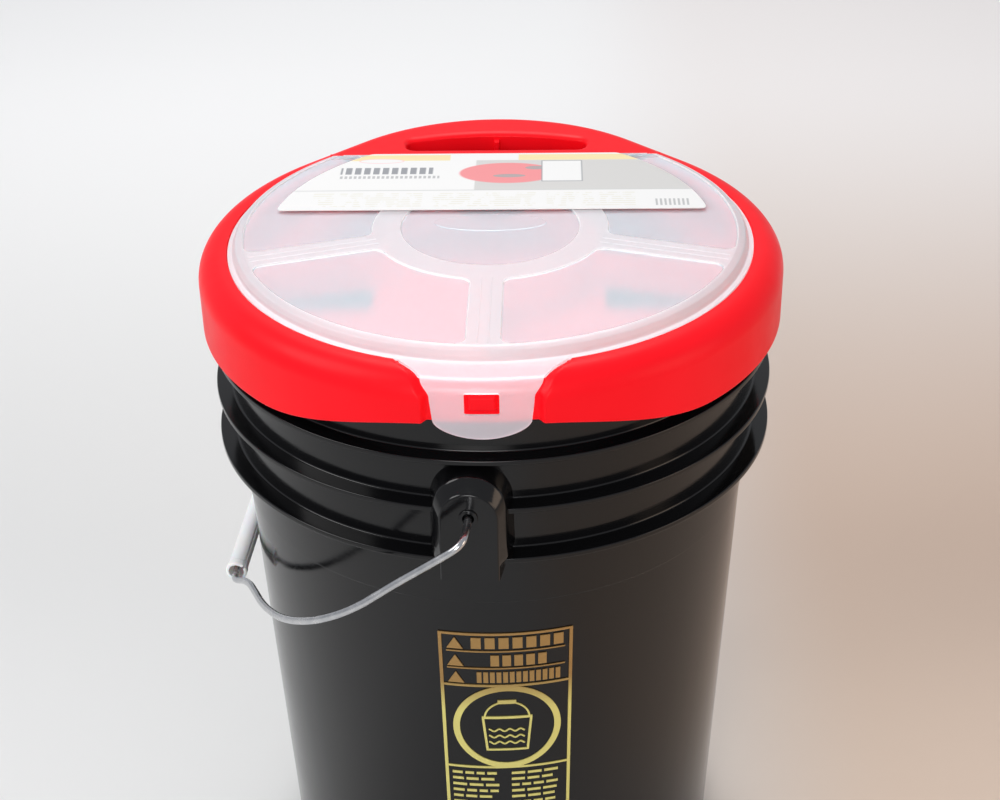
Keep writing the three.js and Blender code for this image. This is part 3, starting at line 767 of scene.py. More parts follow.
def panel_frame():
    half, top, bottom = PANEL_HALF_WIDTH, PANEL_TOP_Z, PANEL_BOTTOM_Z
    strips = [ribbon([(side * (half - 0.9), top), (side * (half - 0.9), bottom)], 1.8) for side in (-1, 1)]
    for z in (top - 0.7, PANEL_RULES_Z[2], PANEL_RULES_Z[3], bottom + 0.7):
        strips.append(level(-half, half, z, 1.4))
    for z in PANEL_RULES_Z[:2]:
        strips.append(level(4 - half, half - 4, z, 0.8))
    return strips


def panel_header():
    """Three rows of a triangle and plain blocks."""
    strips = []
    rows = ((PANEL_TOP_Z - 10.6, -19, 31, 7), (210.2, -9, 22, 5), (198.8, -16, 29, 13))
    for z, start, end, count in rows:
        strips.append(ribbon([(-26.5, z, 8.6), (-26.5, z + 7.2, 0.4)], 1))
        pitch = (end - start) / count
        width = pitch * 0.72
        for i in range(count):
            along = start + (i + 0.5) * pitch
            strips.append(ribbon([(along, z + 0.4), (along, z + 7.6)], width))
    return strips


def panel_picture():
    """A ring round a pail that holds three waves of liquid."""
    middle = PANEL_RING_Z
    strips = [ribbon(oval_path(PANEL_RING_RADIUS - 1.8, PANEL_RING_RADIUS - 1.8, middle), 3.6, True)]
    for side in (-1, 1):
        strips.append(ribbon([(side * 13, middle + 7), (side * 11, middle - 16)], 1.3))
    strips.append(level(-13.6, 13.6, middle + 7, 1.6))
    strips.append(level(-11.6, 11.6, middle - 16, 1.3))
    arc = [(12 * cos(a), middle + 7 + 11 * sin(a)) for a in spaced(0, pi, pi / 24) + [pi]]
    strips.append(ribbon(arc, 1.0))
    strips.append(level(-5, 5, middle + 18, 2.6))
    for row in range(3):
        z = middle - 2 - 4.5 * row
        wave = [(x, z + 0.8 * sin(x * 1.1)) for x in spaced(-10, 10, 0.6)]
        strips.append(ribbon(wave, 0.9))
    return strips


def panel_rows():
    """Rows of dashes of uneven length, in two columns."""
    strips = []
    for row in range(9):
        z = PANEL_RULES_Z[3] - 4.6 - 4.4 * row
        for column in (-31, 2):
            along = column
            for i in range(4):
                length = 4.2 + 3.6 * abs(sin(5.3 * row + 2.9 * i + column))
                if along + length > column + 29:
                    break
                strips.append(level(along, along + length, z, 1.7, 6))
                along += length + 1.5
    return strips


def panel():
    verts = []
    faces = []
    for rings, wrap in panel_frame() + panel_header() + panel_picture() + panel_rows():
        faces += skin_faces(len(rings[0]), len(rings), wrap, len(verts))
        verts += [point for ring in rings for point in ring]
    return solid("panel", verts, faces)


# ---- the bail ----

# Half of the wire's centre line as (distance along the ear axis, drop from it).
BAIL_HALF = [
    (149, 0), (156, 0), (164, 0), (171, 0.1), (176.8, 1), (180, 3.6), (180.8, 8.4), (180.3, 15), (179.3, 25),
    (178.2, 35), (177.2, 46), (176.7, 57), (176, 66), (173.4, 76.8), (168.8, 88), (162.7, 99.2), (154, 111.3),
    (146.6, 119.9), (136.9, 129.3), (123.8, 139.6), (109, 149.4), (93.5, 158), (79.2, 166.2), (70.6, 173),
    (64.6, 179.6), (60.4, 182.6), (56.6, 183.4),
]
BAIL_REACH = 183.4


def bail_point(along, drop):
    """A point of the bail's plane, which hangs from the ear axis down to the grip's centre."""
    down = (GRIP_CENTRE - Vector((0, 0, EAR_AXIS_Z))).normalized()
    return Vector((0, 0, EAR_AXIS_Z)) + EAR_AXIS * along + down * drop


def curve_through(points, spacing):
    """Points about spacing apart on a centripetal Catmull-Rom curve."""
    ends = [points[0] * 2 - points[1]] + points + [points[-1] * 2 - points[-2]]
    made = []
    for a, b, c, d in zip(ends, ends[1:], ends[2:], ends[3:]):
        t1 = sqrt((b - a).length)
        t2 = t1 + sqrt((c - b).length)
        t3 = t2 + sqrt((d - c).length)
        for t in spaced(t1, t2, (t2 - t1) * spacing / max((c - b).length, spacing)):
            ab = a + (b - a) * (t / t1)
            bc = b + (c - b) * ((t - t1) / (t2 - t1))
            cd = c + (d - c) * ((t - t2) / (t3 - t2))
            abc = ab + (bc - ab) * (t / t2)
            bcd = bc + (cd - bc) * ((t - t1) / (t3 - t1))
            made.append(abc + (bcd - abc) * ((t - t1) / (t2 - t1)))
    return made + [points[-1]]


def rod(name, path, radius, sides=20, round_end=0.7):
    """A round rod along a path, its ends turned in by round_end."""
    tangents = [(b - a).normalized() for a, b in zip(path, path[1:])]
    tangents.append(tangents[-1])
    across = tangents[0].orthogonal().normalized()
    rings = []
    for i, (point, tangent) in enumerate(zip(path, tangents)):
        across = (across - tangent * across.dot(tangent)).normalized()
        up = tangent.cross(across)
        size = radius - round_end if i in (0, len(path) - 1) else radius
        around = spaced(0, 2 * pi, 2 * pi / sides)
        rings.append([point + across * (size * cos(a)) + up * (size * sin(a)) for a in around])
    return skin(name, rings)


def bail():
    points = [bail_point(-along, drop) for along, drop in BAIL_HALF]
    points += [bail_point(along, BAIL_REACH) for along in (-30, 0, 30)]
    points += [bail_point(along, drop) for along, drop in reversed(BAIL_HALF)]
    return rod("bail", curve_through(points, 2.4), WIRE_RADIUS)


def grip():
    """A sleeve with hollow ends on a slit bore, its slit on the side towards the pail and the floor."""
    half = GRIP_HALF_LENGTH
    waist = GRIP_RADIUS - 0.45
    outer = [(1.2, -half), (GRIP_RADIUS, -half, 0.9), (GRIP_RADIUS, 4 - half, 0.4), (waist, 5.4 - half, 2)]
    outer += [(waist, half - 5.4, 2), (GRIP_RADIUS, half - 4, 0.4), (GRIP_RADIUS, half, 0.9), (1.2, half)]
    sleeve = revolve("grip", rounded(outer), 64)
    bore = revolve("bore", [(2.6, -half - 1), (2.6, half + 1)], 32)
    hollows = []
    for end in (-1, 1):
        tip, floor = end * (half + 1), end * (half - 12)
        hollow = [(1.5, tip), (4.5, tip), (4.4, end * half, 0.3), (4.3, floor, 0.8), (1.5, floor)]
        hollows.append(revolve("hollow", rounded(hollow), 48))
    slit = block("slit", (0, -0.7, -half - 1), (GRIP_RADIUS + 1, 0.7, half + 1))
    sleeve = cut(sleeve, bore, *hollows, slit)
    soften(sleeve, 0.25, 50)
    turned(sleeve, radians(-35))
    turned(sleeve, -pi / 2, "X")
    return moved(turned(sleeve, PAIL_TURN), *GRIP_CENTRE)


# ---- the seat lid ----

TANGENT = degrees(acos((LID_RADIUS - HANDLE_RADIUS) / HANDLE_Y))
FRONT_OF_TANGENT = 180 - TANGENT


def lid_stations():
    """The lid's outline as (azimuth of its normal from -Y, radius, centre y).

    It is the main circle, the two tangents to the handle's arc and that arc, with more stations beside the
    latch's recess.
    """
    edge = FRONT_OF_TANGENT
    azimuths = spaced(-edge, -18.5, 1.6) + spaced(-18.5, -8.5, 0.22) + spaced(-8.5, 8.5, 1)
    azimuths += spaced(8.5, 18.5, 0.22) + spaced(18.5, edge, 1.6)
    stations = [(a, LID_RADIUS, 0) for a in azimuths]
    for t in spaced(0, 1, 0.1):
        stations.append((edge, mix(LID_RADIUS, HANDLE_RADIUS, t), HANDLE_Y * t))
    stations += [(a, HANDLE_RADIUS, HANDLE_Y) for a in spaced(edge, 360 - edge, 1.5)]
    for t in spaced(0, 1, 0.1):
        stations.append((-edge, mix(HANDLE_RADIUS, LID_RADIUS, t), HANDLE_Y * (1 - t)))
    return stations


def flare_half_width(y, narrow, wide, edge_radius):
    """Half the width of the latch's recess or flare at y. It is wide where it meets the cover."""
    reach = min(max((y + edge_radius + FLARE_LEAD) / FLARE_LENGTH, 0), 1)
    return narrow + (wide - narrow) * reach ** FLARE_POWER


def skirt_profile(inset, top, shoulder, edge_z):
    """(inset, z) from the top plate over the shoulder, down the skirt, round its edge and up inside."""
    roll = SKIRT_WALL / 2
    inside = inset + SKIRT_WALL
    bend = SHOULDER - 0.75 * inside
    brow, foot, ceiling = top - shoulder, edge_z + roll, PLATE_Z - bend
    made = [(inset + shoulder * (1 - sin(a)), brow + shoulder * cos(a)) for a in spaced(0, pi / 2, pi / 28)]
    made += [(inset, z) for z in spaced(brow, foot, (brow - foot) / 9)]
    made += [(inset + roll - roll * cos(b), foot - roll * sin(b)) for b in spaced(0, pi, pi / 8)]
    made += [(inside, z) for z in spaced(foot, ceiling, (ceiling - foot) / 5)]
    made += [(inside + step, z) for step, z in curl(bend, PLATE_Z, spaced(0, pi / 2, pi / 16))]
    return made + [(inside + bend, PLATE_Z)]


def skirt_edge_z(azimuth):
    t = (abs(azimuth) - SKIRT_RISE_FROM) / (SKIRT_RISE_TO - SKIRT_RISE_FROM)
    return SKIRT_Z + SKIRT_RISE * (1 - smooth(t))


def lid_shell():
    """The lid's top plate, shoulder and skirt as one shell, pressed in at the front for the latch tab."""
    columns = []
    for azimuth, radius, centre_y in lid_stations():
        a = radians(azimuth)
        edge_z = skirt_edge_z(azimuth) if centre_y == 0 else SKIRT_Z
        plain = skirt_profile(0, LID_TOP_Z, SHOULDER, edge_z)
        pressed = skirt_profile(RECESS_INSET, LEDGE_Z, SHOULDER - 0.75 * RECESS_INSET, edge_z)
        plain = [(SHOULDER + 5.5, LID_TOP_Z), (SHOULDER + 2.6, LID_TOP_Z)] + plain
        pressed = [(SHOULDER + 5.5, LID_TOP_Z), (SHOULDER + 2.6, LEDGE_Z)] + pressed
        outer_count = len(plain) // 2 + 4
        column = []
        for i, ((inset, z), (inset_in, z_in)) in enumerate(zip(plain, pressed)):
            reach = radius - inset
            x, y = reach * sin(a), centre_y - reach * cos(a)
            half = flare_half_width(y, RECESS_HALF_WIDTH, RECESS_WIDE_HALF_WIDTH, COVER_RADIUS - 0.1)
            half -= RECESS_STEP * smooth((LID_TOP_Z - 5 - z) / 6)
            half += SKIRT_WALL if i > outer_count else 0
            weight = 1 - smooth((abs(x) - half + RECESS_ROUND) / (2 * RECESS_ROUND)) if y < -100 else 0
            reach = radius - mix(inset, inset_in, weight)
            column.append((reach * sin(a), centre_y - reach * cos(a), mix(z, z_in, weight)))
        columns.append(column)
    rings = [[column[row] for column in columns] for row in range(len(columns[0]))]
    return skin("seat_lid", rings)


def slot_mouth(grow):
    """The slot's lip, which rolls over more widely behind than in front."""
    return slot_outline(grow, 2.2 * grow)


def slot_outline(grow, grow_back=None):
    """The carrying slot: a straight front edge, an arc behind and round ends."""
    half = SLOT_HALF_LENGTH + grow
    front = SLOT_FRONT_Y - grow
    radius = SLOT_OUTER_RADIUS + (grow if grow_back is None else grow_back)
    straight = SLOT_HALF_LENGTH - SLOT_CORNER
    end_y = sqrt(radius * radius - straight ** 2)
    mid = (front + end_y) / 2
    turn = asin(straight / radius)
    arc = [(radius * sin(a), radius * cos(a)) for a in spaced(turn, -turn, 0.05)]
    points = [(mix(-straight, straight, t), front) for t in spaced(0, 1, 0.1)]
    points += curve_corner((straight, front), (half, front), (half, mid))
    points += curve_corner((half, mid), (half, end_y - 1), arc[0]) + arc
    points += curve_corner((-arc[0][0], arc[0][1]), (-half, end_y - 1), (-half, mid))
    return points + curve_corner((-half, mid), (-half, front), (-straight, front))


def curve_corner(start, control, end, steps=6):
    """A quadratic corner from start up to, and without, end."""
    a, b, c = Vector(start), Vector(control), Vector(end)
    return [tuple(a * (1 - t) ** 2 + b * (2 * t * (1 - t)) + c * t * t) for t in spaced(0, 1, 1 / steps)]


def wall_arc(radius, side):
    """A round wall of a compartment: side is 1 where the compartment is inside it and -1 where outside."""
    return {"radius": radius, "side": side}


def wall_line(normal, offset, towards):
    """A straight wall: its outward normal, its distance and the way along it to its arc corner."""
    return {"normal": Vector(normal), "offset": offset, "towards": Vector(towards)}


def corner_between(first, second, inset, radius):
    """The centre of the circle that rounds the corner between two walls."""
    if "radius" in second:
        first, second = second, first
    if "radius" in first:
        reach = first["radius"] - first["side"] * (inset + radius)
        depth = second["offset"] - inset - radius
        along = Vector((-second["normal"].y, second["normal"].x))
        if along.dot(second["towards"]) < 0:
            along = -along
        return second["normal"] * depth + along * sqrt(reach * reach - depth * depth)
    rows = Matrix((second["normal"], first["normal"]))
    return rows.inverted() @ Vector((second["offset"] - inset - radius, first["offset"] - inset - radius))


def touch(wall, centre):
    """Where a wall touches the circle that rounds its corner, as a direction from the circle's centre."""
    return centre.normalized() * wall["side"] if "radius" in wall else wall["normal"]


def room_outline(walls, corner, arc_steps=24, corner_steps=6):
    """A function of inset that gives the outline between walls, in order, with rounded corners."""
    def outline(inset):
        radius = max(corner - inset, 0.3)
        centres = [corner_between(a, b, inset, radius) for a, b in zip(walls, walls[1:] + walls[:1])]
        points = []
        for i, wall in enumerate(walls):
            after = walls[(i + 1) % len(walls)]
            start = touch(wall, centres[i])
            end = touch(after, centres[i])
            turn = start.angle_signed(end)
            for k in range(corner_steps + 1):
                spin = Matrix.Rotation(-turn * k / corner_steps, 2)
                points.append(tuple(centres[i] + (spin @ start) * radius))
            if "radius" in after:
                middle = centres[(i + 1) % len(walls)]
                reach = after["radius"] - after["side"] * inset
                sweep = centres[i].angle_signed(middle)
                for k in range(1, arc_steps):
                    spin = Matrix.Rotation(-sweep * k / arc_steps, 2)
                    points.append(tuple(spin @ centres[i].normalized() * reach))
        return points
    return outline


def spoke_wall(angle, margin, side):
    """A straight wall beside the spoke at angle: side is 1 where the compartment lies before it."""
    out = Vector((-sin(angle), cos(angle))) * side
    return wall_line(out, -margin, (cos(angle), sin(angle)))


def compartments(inner, outer, margin, back):
    """The walls of the five compartments between the spokes, anticlockwise from the front spoke."""
    rooms = []
    for i in range(5):
        start = -pi / 2 + i * SPOKE_STEP
        end = start + SPOKE_STEP
        walls = [wall_arc(inner, -1), spoke_wall(start, margin, -1), wall_arc(outer, 1)]
        chord = wall_line((0, 1), back, (1 if i == 1 else -1, 0))
        if i == 1:
            walls.append(chord)
        if i == 2:
            walls[2] = chord
        if i == 3:
            walls = [walls[0], walls[1], chord, walls[2]]
        walls.append(spoke_wall(end, margin, 1))
        rooms.append(walls)
    return rooms


def tray_cutters():
    """The rooms of the tray, with round floor corners and dividers whose tops are rounded over."""
    floor, lip = 3, 1.1
    rows = [(floor * (1 - sin(a)), TRAY_FLOOR_Z + floor * (1 - cos(a))) for a in spaced(0, pi / 2, pi / 12)]
    rows += [(0, TRAY_FLOOR_Z + floor), (0, DIVIDER_TOP_Z - lip)]
    rows += curl(-lip, DIVIDER_TOP_Z, spaced(pi / 10, pi / 2, pi / 10))
    rows += [(-lip, DIVIDER_TOP_Z), (-lip, DIVIDER_TOP_Z + 6)]
    rooms = compartments(CUP_RADIUS + DIVIDER_HALF, TRAY_RADIUS, DIVIDER_HALF, TRAY_BACK_Y)
    cutters = [upright("room", room_outline(walls, 4.5), rows) for walls in rooms]
    cup = [(CUP_RADIUS - DIVIDER_HALF - inset, z) for inset, z in rows]
    cutters.append(revolve("cup", cup, 120))
    above = disc(TRAY_RADIUS + lip, DIVIDER_TOP_Z, 400)
    return cutters + [keep(above, front_of(TRAY_BACK_Y + lip))]


def drop_cutters():
    """Openings in the floor of the two front compartments, beside the side spokes."""
    slope = sin(pi / 10) / cos(pi / 10)
    start, end = DROP_X
    corners = [(start, DROP_FRONT_Y, 5), (end, DROP_FRONT_Y, 5)]
    corners += [(x, -slope * x - 2 * DIVIDER_HALF, 5) for x in (end, start)]
    cutters = []
    for side in (-1, 1):
        outline = rounded([(side * x, y, corner) for x, y, corner in corners], closed=True)
        drop = skin("drop", [[(x, y, z) for x, y in outline] for z in (340, 380)])
        cutters.append(keep(drop, disc(TRAY_RADIUS - 3, 335, 385, 160)))
    return cutters


def along_x(name, outline, start, end):
    return skin(name, [[(x, y, z) for y, z in outline] for x in (start, end)])


def rod_along_x(name, radius, start, end):
    """A rod on the hinge's axis."""
    around = spaced(0, 2 * pi, pi / 16)
    return along_x(name, [(HINGE.y + radius * cos(a), HINGE.z + radius * sin(a)) for a in around], start, end)


def hinge_lugs():
    """The two lugs that hold the cover's stubs."""
    low_z, back = HINGE.z - KNUCKLE_RADIUS - 2, HINGE.y + KNUCKLE_RADIUS + 1
    outline = [(HINGE.y - LUG_RADIUS, low_z), (back, low_z), (back, HINGE.z - 1, 1.5)]
    for a in spaced(pi / 2, -pi / 2, pi / 20):
        outline.append((HINGE.y + LUG_RADIUS * sin(a), HINGE.z + LUG_RADIUS * cos(a)))
    outline = rounded(outline + [(HINGE.y - LUG_RADIUS, HINGE.z)])
    return [along_x("lug", outline, *ends) for ends in ((-LUG_END, -LUG_START), (LUG_START, LUG_END))]


def latch_catch():
    """The wedge that the tab's window snaps over."""
    face = -(LID_RADIUS - RECESS_INSET)
    tip = -(TAB_FACE_RADIUS - TAB_THICKNESS - 0.5)
    low_z, high_z = TAB_WINDOW_Z[0] + 1, TAB_WINDOW_Z[1] - 0.6
    sections = [
        (0, 0, 0, face + 2, 0.5), (0, 0, 0, face - 1.3, 0.5), (0.3, 0.1, 0.4, face - 1.8, 0.6),
        (1.6, 0.5, 2.9, tip + 0.25, 0.7), (2, 0.8, 3.3, tip, 0.6),
    ]
    rings = []
    for inset, rise, drop, y, corner in sections:
        half = TAB_WINDOW_HALF_WIDTH - 0.8 - inset
        outline = rounded(rectangle((-half, low_z + rise), (half, high_z - drop), corner), True)
        rings.append([(x, y, z) for x, z in outline])
    return skin("catch", rings)


def lid_band(name, inner, outer, low_z, edge):
    """A ring under the lid's top plate, its lower edges rounded."""
    corners = [(inner, low_z, edge), (outer, low_z, edge), (outer, PLATE_Z + 1), (inner, PLATE_Z + 1)]
    return revolve(name, rounded(corners, True), 240, closed=True)


def carried_slot(lid):
    """Cuts the carrying slot with its rolled lip and sets the rib across it."""
    lip = 2.6
    rows = [(0, 330), (0, LID_TOP_Z - lip)] + curl(lip, LID_TOP_Z, spaced(pi / 14, pi / 2, pi / 14))
    rows += [(lip, LID_TOP_Z), (lip + 0.4, 400)]
    lid = cut(lid, upright("slot", slot_mouth, rows))
    near = (-1.4, SLOT_OUTER_RADIUS - 5, RIM_Z + LANDING_GAP)
    return join(lid, block("slot_rib", near, (1.4, SLOT_OUTER_RADIUS + 1, LID_TOP_Z - 4), 0.6))


def seat_lid():
    lid = lid_shell()
    wall, low_z = TRAY_RADIUS + TRAY_WALL, TRAY_FLOOR_Z - TRAY_WALL
    pan = rounded([(1, low_z), (wall, low_z, 3), (wall, PLATE_Z + 1), (1, PLATE_Z + 1)])
    pan = keep(revolve("pan", pan, 240), front_of(TRAY_BACK_Y + TRAY_WALL))
    plug = lid_band("plug", PLUG_RADIUS - TRAY_WALL, PLUG_RADIUS, PLUG_LOW_Z, 1)
    landing = lid_band("landing", SLOT_OUTER_RADIUS, LANDING_RADIUS, RIM_Z + LANDING_GAP, 0.8)
    slot_wall = upright("slot_wall", slot_outline, [(TRAY_WALL, low_z), (TRAY_WALL, PLATE_Z + 1)])
    lid = carried_slot(join(lid, pan, plug, landing, slot_wall))
    seat = rounded([
        (COVER_RADIUS + 0.6, LEDGE_Z), (COVER_RADIUS + 0.6, LID_TOP_Z, 0.5),
        (COVER_RADIUS + 2, LID_TOP_Z + 0.4), (COVER_RADIUS + 2, 400)])
    groove_back = HINGE.y + KNUCKLE_RADIUS + 0.5
    seat = keep(revolve("seat", seat, 360), front_of(groove_back))
    half = LUG_END - 0.2
    groove = block("groove", (-half, HINGE.y - 3, HINGE.z - KNUCKLE_RADIUS - 0.4), (half, groove_back, 400))
    lid = join(cut(lid, seat, groove), *hinge_lugs())
    for side in (-1, 1):
        ends = (side * (LUG_START - 1), side * (STUB_END + 0.5))
        lid = cut(lid, rod_along_x("pin", STUB_HOLE_RADIUS, *ends))
    return join(cut(lid, *tray_cutters(), *drop_cutters()), latch_catch())


# ---- the cover and its tab ----

def cover_plate():
    inner, edge = COVER_TOP_Z - COVER_THICKNESS, COVER_EDGE_Z
    outline = rounded([
        (1, inner), (COVER_FLAT_RADIUS - 0.8, inner, 1.5), (132.6, inner - 1, 1), (134.2, edge + 0.6, 1),
        (134.4, edge - 1.6, 0.3), (COVER_RADIUS, edge - 1.6, 0.5), (COVER_RADIUS, edge, 0.6),
        (136.4, edge + 0.1, 1.2), (135.9, edge + 2.4, 1.5), (134.4, edge + 4.8, 1.6),
        (COVER_FLAT_RADIUS, COVER_TOP_Z, 2.4), (1, COVER_TOP_Z)])
    return keep(revolve("frosted_cover", outline, 360), front_of(HINGE.y))


def window_cutters():
    """The shallow recesses that leave the ring and the spokes standing."""
    floor = COVER_TOP_Z - WINDOW_DEPTH
    rows = [(0.9, floor), (0.5, floor + 0.06), (0.25, floor + 0.25), (0.12, floor + 0.55)]
    rows += [(-0.1, COVER_TOP_Z - 0.06), (-0.5, COVER_TOP_Z + 0.03), (-0.5, COVER_TOP_Z + 3)]
    rooms = compartments(RING_OUTER, WINDOW_RADIUS, BAND_HALF_WIDTH, TRAY_BACK_Y - 1)
    cutters = [upright("window", room_outline(walls, WINDOW_CORNER, 36), rows) for walls in rooms]
    cutters.append(revolve("window", [(RING_INNER - inset, z) for inset, z in rows], 160))
    return cutters


def spoke_lines():
    """Two fine raised lines along the middle of each spoke."""
    rows = [(0.55, COVER_TOP_Z - 0.3), (0.45, COVER_TOP_Z + 0.1), (0.2, COVER_TOP_Z + 0.22)]
    lines = []
    for i in range(5):
        for y in (-2.6, 2.6):
            rings = []
            for half, top in rows:
                corners = rectangle((RING_OUTER - 1, y - half), (WINDOW_RADIUS - 1, y + half))
                rings.append([(along, across, top) for along, across, _ in corners])
            lines.append(turned(skin("line", rings), -pi / 2 + SPOKE_STEP * i))
    return cut(join(*lines), block("back", (-200, TRAY_BACK_Y - 3, 300), (200, 200, 500)))


def centre_oval():
    """A raised plain oval in the middle window."""
    floor = COVER_TOP_Z - WINDOW_DEPTH
    rows = [(0, floor - 0.3), (0, floor + 0.15), (0.25, floor + 0.34), (0.8, floor + 0.4)]
    around = spaced(0, 2 * pi, pi / 48)
    rings = [[((30 - inset) * cos(a), 4 + (10.5 - inset) * sin(a), z) for a in around] for inset, z in rows]
    return skin("oval", rings)


def hinge_web(piece):
    """Cuts the cover's back down to a slope and joins the slope to the knuckle and its stubs."""
    inner = COVER_TOP_Z - COVER_THICKNESS
    y, back, top = TRAY_BACK_Y - 3, HINGE.y + 4, COVER_TOP_Z + 4
    end = (HINGE.y + 0.6, HINGE.z + 1.8)
    above = [(y, top), (y, COVER_TOP_Z), end, (back, HINGE.z), (back, top)]
    piece = cut(piece, along_x("above", above, -160, 160))
    web = [(y - 4, inner), (y - 4, COVER_TOP_Z - 0.02), (y, COVER_TOP_Z - 0.02), end]
    web += [(HINGE.y + 0.6, HINGE.z), (HINGE.y - 2, HINGE.z), (y, inner)]
    web = keep(along_x("web", web, -160, 160), disc(COVER_FLAT_RADIUS + 1, HINGE.z - 5, COVER_TOP_Z))
    piece = join(piece, web, rod_along_x("knuckle", KNUCKLE_RADIUS, -KNUCKLE_END, KNUCKLE_END))
    notch = KNUCKLE_END + 0.5
    notches = [
        block("notch", (start, HINGE.y - 4, 380), (end, HINGE.y + 5, 400))
        for start, end in ((-120, -notch), (notch, 120))]
    return join(cut(piece, *notches), rod_along_x("stub", STUB_RADIUS, -STUB_END, STUB_END))


def tab_width(radius, z):
    """Half of the tab's width on its path: the flare, the step in below the bend and the taper."""
    if z > COVER_EDGE_Z - 0.03:
        half = FLARE_HALF_WIDTH
        for _ in range(12):
            y = -sqrt(radius * radius - half * half)
            half = flare_half_width(y, FLARE_HALF_WIDTH, FLARE_WIDE_HALF_WIDTH, COVER_RADIUS - 0.7)
        return half
    below = COVER_EDGE_Z - z
    half = mix(FLARE_HALF_WIDTH, TAB_HALF_WIDTH, smooth(below / 7.5))
    return mix(half, TAB_TIP_HALF_WIDTH, smooth((below - 5) / 18))


def tab_path():
    """(radius, z) from under the cover's rim, over the bend and down to where the tip's curve begins."""
    flat, top = TAB_FACE_RADIUS - TAB_BEND, COVER_EDGE_Z - 0.02
    path = [(radius, top) for radius in spaced(136.8, flat, 0.85)]
    for a in spaced(0, pi / 2, pi / 18):
        path.append((flat + TAB_BEND * sin(a), top - TAB_BEND + TAB_BEND * cos(a)))
    return path + [(TAB_FACE_RADIUS + 0.1, z) for z in spaced(COVER_EDGE_Z - TAB_BEND, TAB_TIP_Z + 12.5, 1.2)]


def tip_outline(columns):
    """Points along the tab's rounded tip as (x, z), evenly spaced from side to side."""
    corner = TAB_TIP_Z + 9.6
    half = []
    for t in spaced(0, 1, 0.01) + [1]:
        a = Vector((TAB_TIP_HALF_WIDTH, corner))
        b = Vector((TAB_TIP_HALF_WIDTH, corner - 4.6))
        c = Vector((12, TAB_TIP_Z))
        d = Vector((0, TAB_TIP_Z))
        half.append(a * (1 - t) ** 3 + b * 3 * t * (1 - t) ** 2 + c * 3 * t * t * (1 - t) + d * t ** 3)
    line = half + [Vector((-p.x, p.y)) for p in reversed(half[:-1])]
    line.reverse()
    reach = [0]
    for a, b in zip(line, line[1:]):
        reach.append(reach[-1] + (b - a).length)
    made = []
    k = 0
    for i in range(columns + 1):
        goal = reach[-1] * i / columns
        while k < len(line) - 2 and reach[k + 1] < goal:
            k += 1
        share = (goal - reach[k]) / max(reach[k + 1] - reach[k], 1e-9)
        made.append(line[k] + (line[k + 1] - line[k]) * min(max(share, 0), 1))
    return made


def tab_strip():
    """The flange's flare and the latch tab as one bent sheet with rounded edges."""
    columns = 44
    rows = []
    for radius, z in tab_path():
        half = tab_width(radius, z)
        xs = [half * (2 * i / columns - 1) for i in range(columns + 1)]
        rows.append([(x, -sqrt(radius * radius - x * x), z) for x in xs])
    radius = TAB_FACE_RADIUS + 0.1
    tip = tip_outline(columns)
    start = rows[-1]
    for t in spaced(0.09, 1, 0.09) + [1]:
        row = []
        for (x0, _, z0), end in zip(start, tip):
            x, z = mix(x0, end.x, t), mix(z0, end.y, t)
            row.append((x, -sqrt(radius * radius - x * x), z))
        rows.append(row)
    width = columns + 1
    faces = []
    for r in range(len(rows) - 1):
        for i in range(columns):
            a = r * width + i
            faces.append((a, a + width, a + width + 1, a + 1))
    sheet = solid("tab", [point for row in rows for point in row], faces)
    upward = sheet.data.polygons[0].normal.z > 0
    thick = sheet.modifiers.new("thick", "SOLIDIFY")
    thick.thickness = (TAB_THICKNESS - 0.04) * MM
    thick.offset = -1 if upward else 1
    thick.use_even_offset = True
    return soften(bake(sheet), 0.45, 60, 3)


def tab_window():
    half = TAB_WINDOW_HALF_WIDTH
    outline = rounded(rectangle((-half, TAB_WINDOW_Z[0]), (half, TAB_WINDOW_Z[1]), 0.9), True)
    return skin("window", [[(x, y, z) for x, z in outline] for y in (-170, -140)])


def cover_moulding():
    cover = cut(cover_plate(), *window_cutters())
    cover = join(hinge_web(cover), centre_oval(), spoke_lines())
    return join(cover, cut(tab_strip(), tab_window()))


# ---- the card on the cover ----

def card_outline(inset):
    """A strip of a disc between two parallel chords, with rounded corners."""
    radius = CARD_RADIUS - inset
    start = asin((CARD_FRONT_Y + inset) / radius)
    end = asin((CARD_BACK_Y - inset) / radius)
    edge = 8 / radius
    angles = [start] + spaced(start + edge, end - edge, 0.03) + [end - edge, end]
    right = [(*polar(radius, a), 0) for a in angles]
    right[0] = (*right[0][:2], CARD_CORNER)
    right[-1] = (*right[-1][:2], CARD_CORNER)
    left = [(-x, y, corner) for x, y, corner in reversed(right)]
    return rounded(right + left, closed=True)


def card():
    low_z, high_z = low("label_card").z, high("label_card").z
    rows = [(0.1, low_z), (0, low_z + 0.1), (0, high_z - 0.1), (0.1, high_z)]
    return upright("card", card_outline, rows)


# ---- the floor and the lights ----

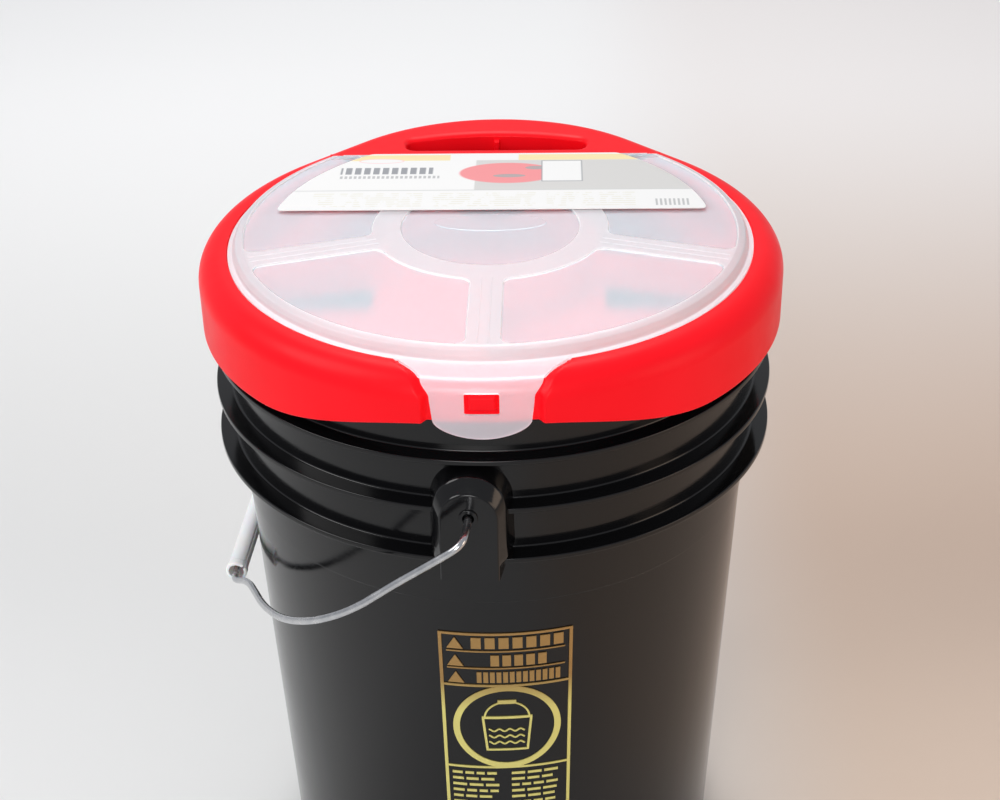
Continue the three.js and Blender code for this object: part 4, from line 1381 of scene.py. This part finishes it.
def stage():
    floor = bpy.data.meshes.new("floor")
    size = 6
    corners = [(-size, -size, 0), (size, -size, 0), (size, size, 0), (-size, size, 0)]
    floor.from_pydata(corners, [], [(0, 1, 2, 3)])
    piece = place("floor", floor)
    paint = Paint("floor", roughness=0.7)
    x, y, _ = paint.xyz()
    # Painted shade and light on the floor: the warm, darker patch right of and behind the pail is a painted
    # shadow with painted warm bounce light.
    warm = x.ease(20, 260) * y.ease(-1200, -250)
    # The near floor keeps a plain pale colour, the darker band round and behind the pail is painted shade,
    # and the lighter far floor is painted light.
    front = paint.blend(warm, (0.80, 0.80, 0.79, 1), (0.80, 0.64, 0.52, 1))
    middle = paint.blend(warm, (0.72, 0.72, 0.71, 1), (0.57, 0.44, 0.355, 1))
    back = paint.blend(warm, (0.98, 0.975, 0.965, 1), (0.93, 0.89, 0.87, 1))
    colour = paint.blend(y.ease(-50, 300), front, middle)
    paint.link(paint.blend(y.ease(250, 1300), colour, back), "Base Color")
    piece.data.materials.append(paint.material)


def area_light(name, spot, target, size, power, colour, spread=180):
    data = bpy.data.lights.new(name, "AREA")
    data.spread = radians(spread)
    data.shape = "DISK"
    data.size = size
    data.energy = power
    data.color = colour
    lamp = place(name, data)
    lamp.location = spot
    lamp.rotation_euler = (Vector(target) - Vector(spot)).to_track_quat("-Z", "Y").to_euler()


def lights():
    world = bpy.data.worlds.new("world")
    bpy.context.scene.world = world
    world.use_nodes = True
    background = world.node_tree.nodes["Background"]
    background.inputs["Color"].default_value = (0.93, 0.95, 1.0, 1)
    background.inputs["Strength"].default_value = 0.5
    middle = (0, 0, 0.3)
    area_light("key", (-1.3, -0.3, 1.6), middle, 1.0, 12, (1.0, 0.99, 0.98))
    area_light("back", (-0.1, 1.5, 2.6), middle, 1.2, 27, (1.0, 1.0, 1.0))
    area_light("front", (-0.15, -1.6, 0.95), (0, 0, 0.37), 0.8, 1.1, (1.0, 0.99, 0.98), 50)
    area_light("warm", (1.5, -0.6, 0.6), middle, 0.8, 4, (1.0, 0.75, 0.55))


# ---- the scene ----

def build():
    finish_piece(bucket(), "pail", PAIL_NODES, black_plastic())
    finish_piece(panel(), "pail", [], gold_print())
    finish_piece(bail(), "bail", ["bail_wire"], zinc_wire(), 50)
    finish_piece(grip(), "grip", ["bail_grip"], white_plastic())
    finish_piece(seat_lid(), "lid", LID_NODES, red_plastic())
    moulding = finish_piece(cover_moulding(), None, COVER_NODES, frosted_plastic())
    finish_piece(card(), "cover", ["label_card"], printed_card())
    moulding.visible_shadow = False
    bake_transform(moulding)


make_camera()
bpy.context.scene.view_settings.view_transform = "Standard"
build()
stage()
lights()
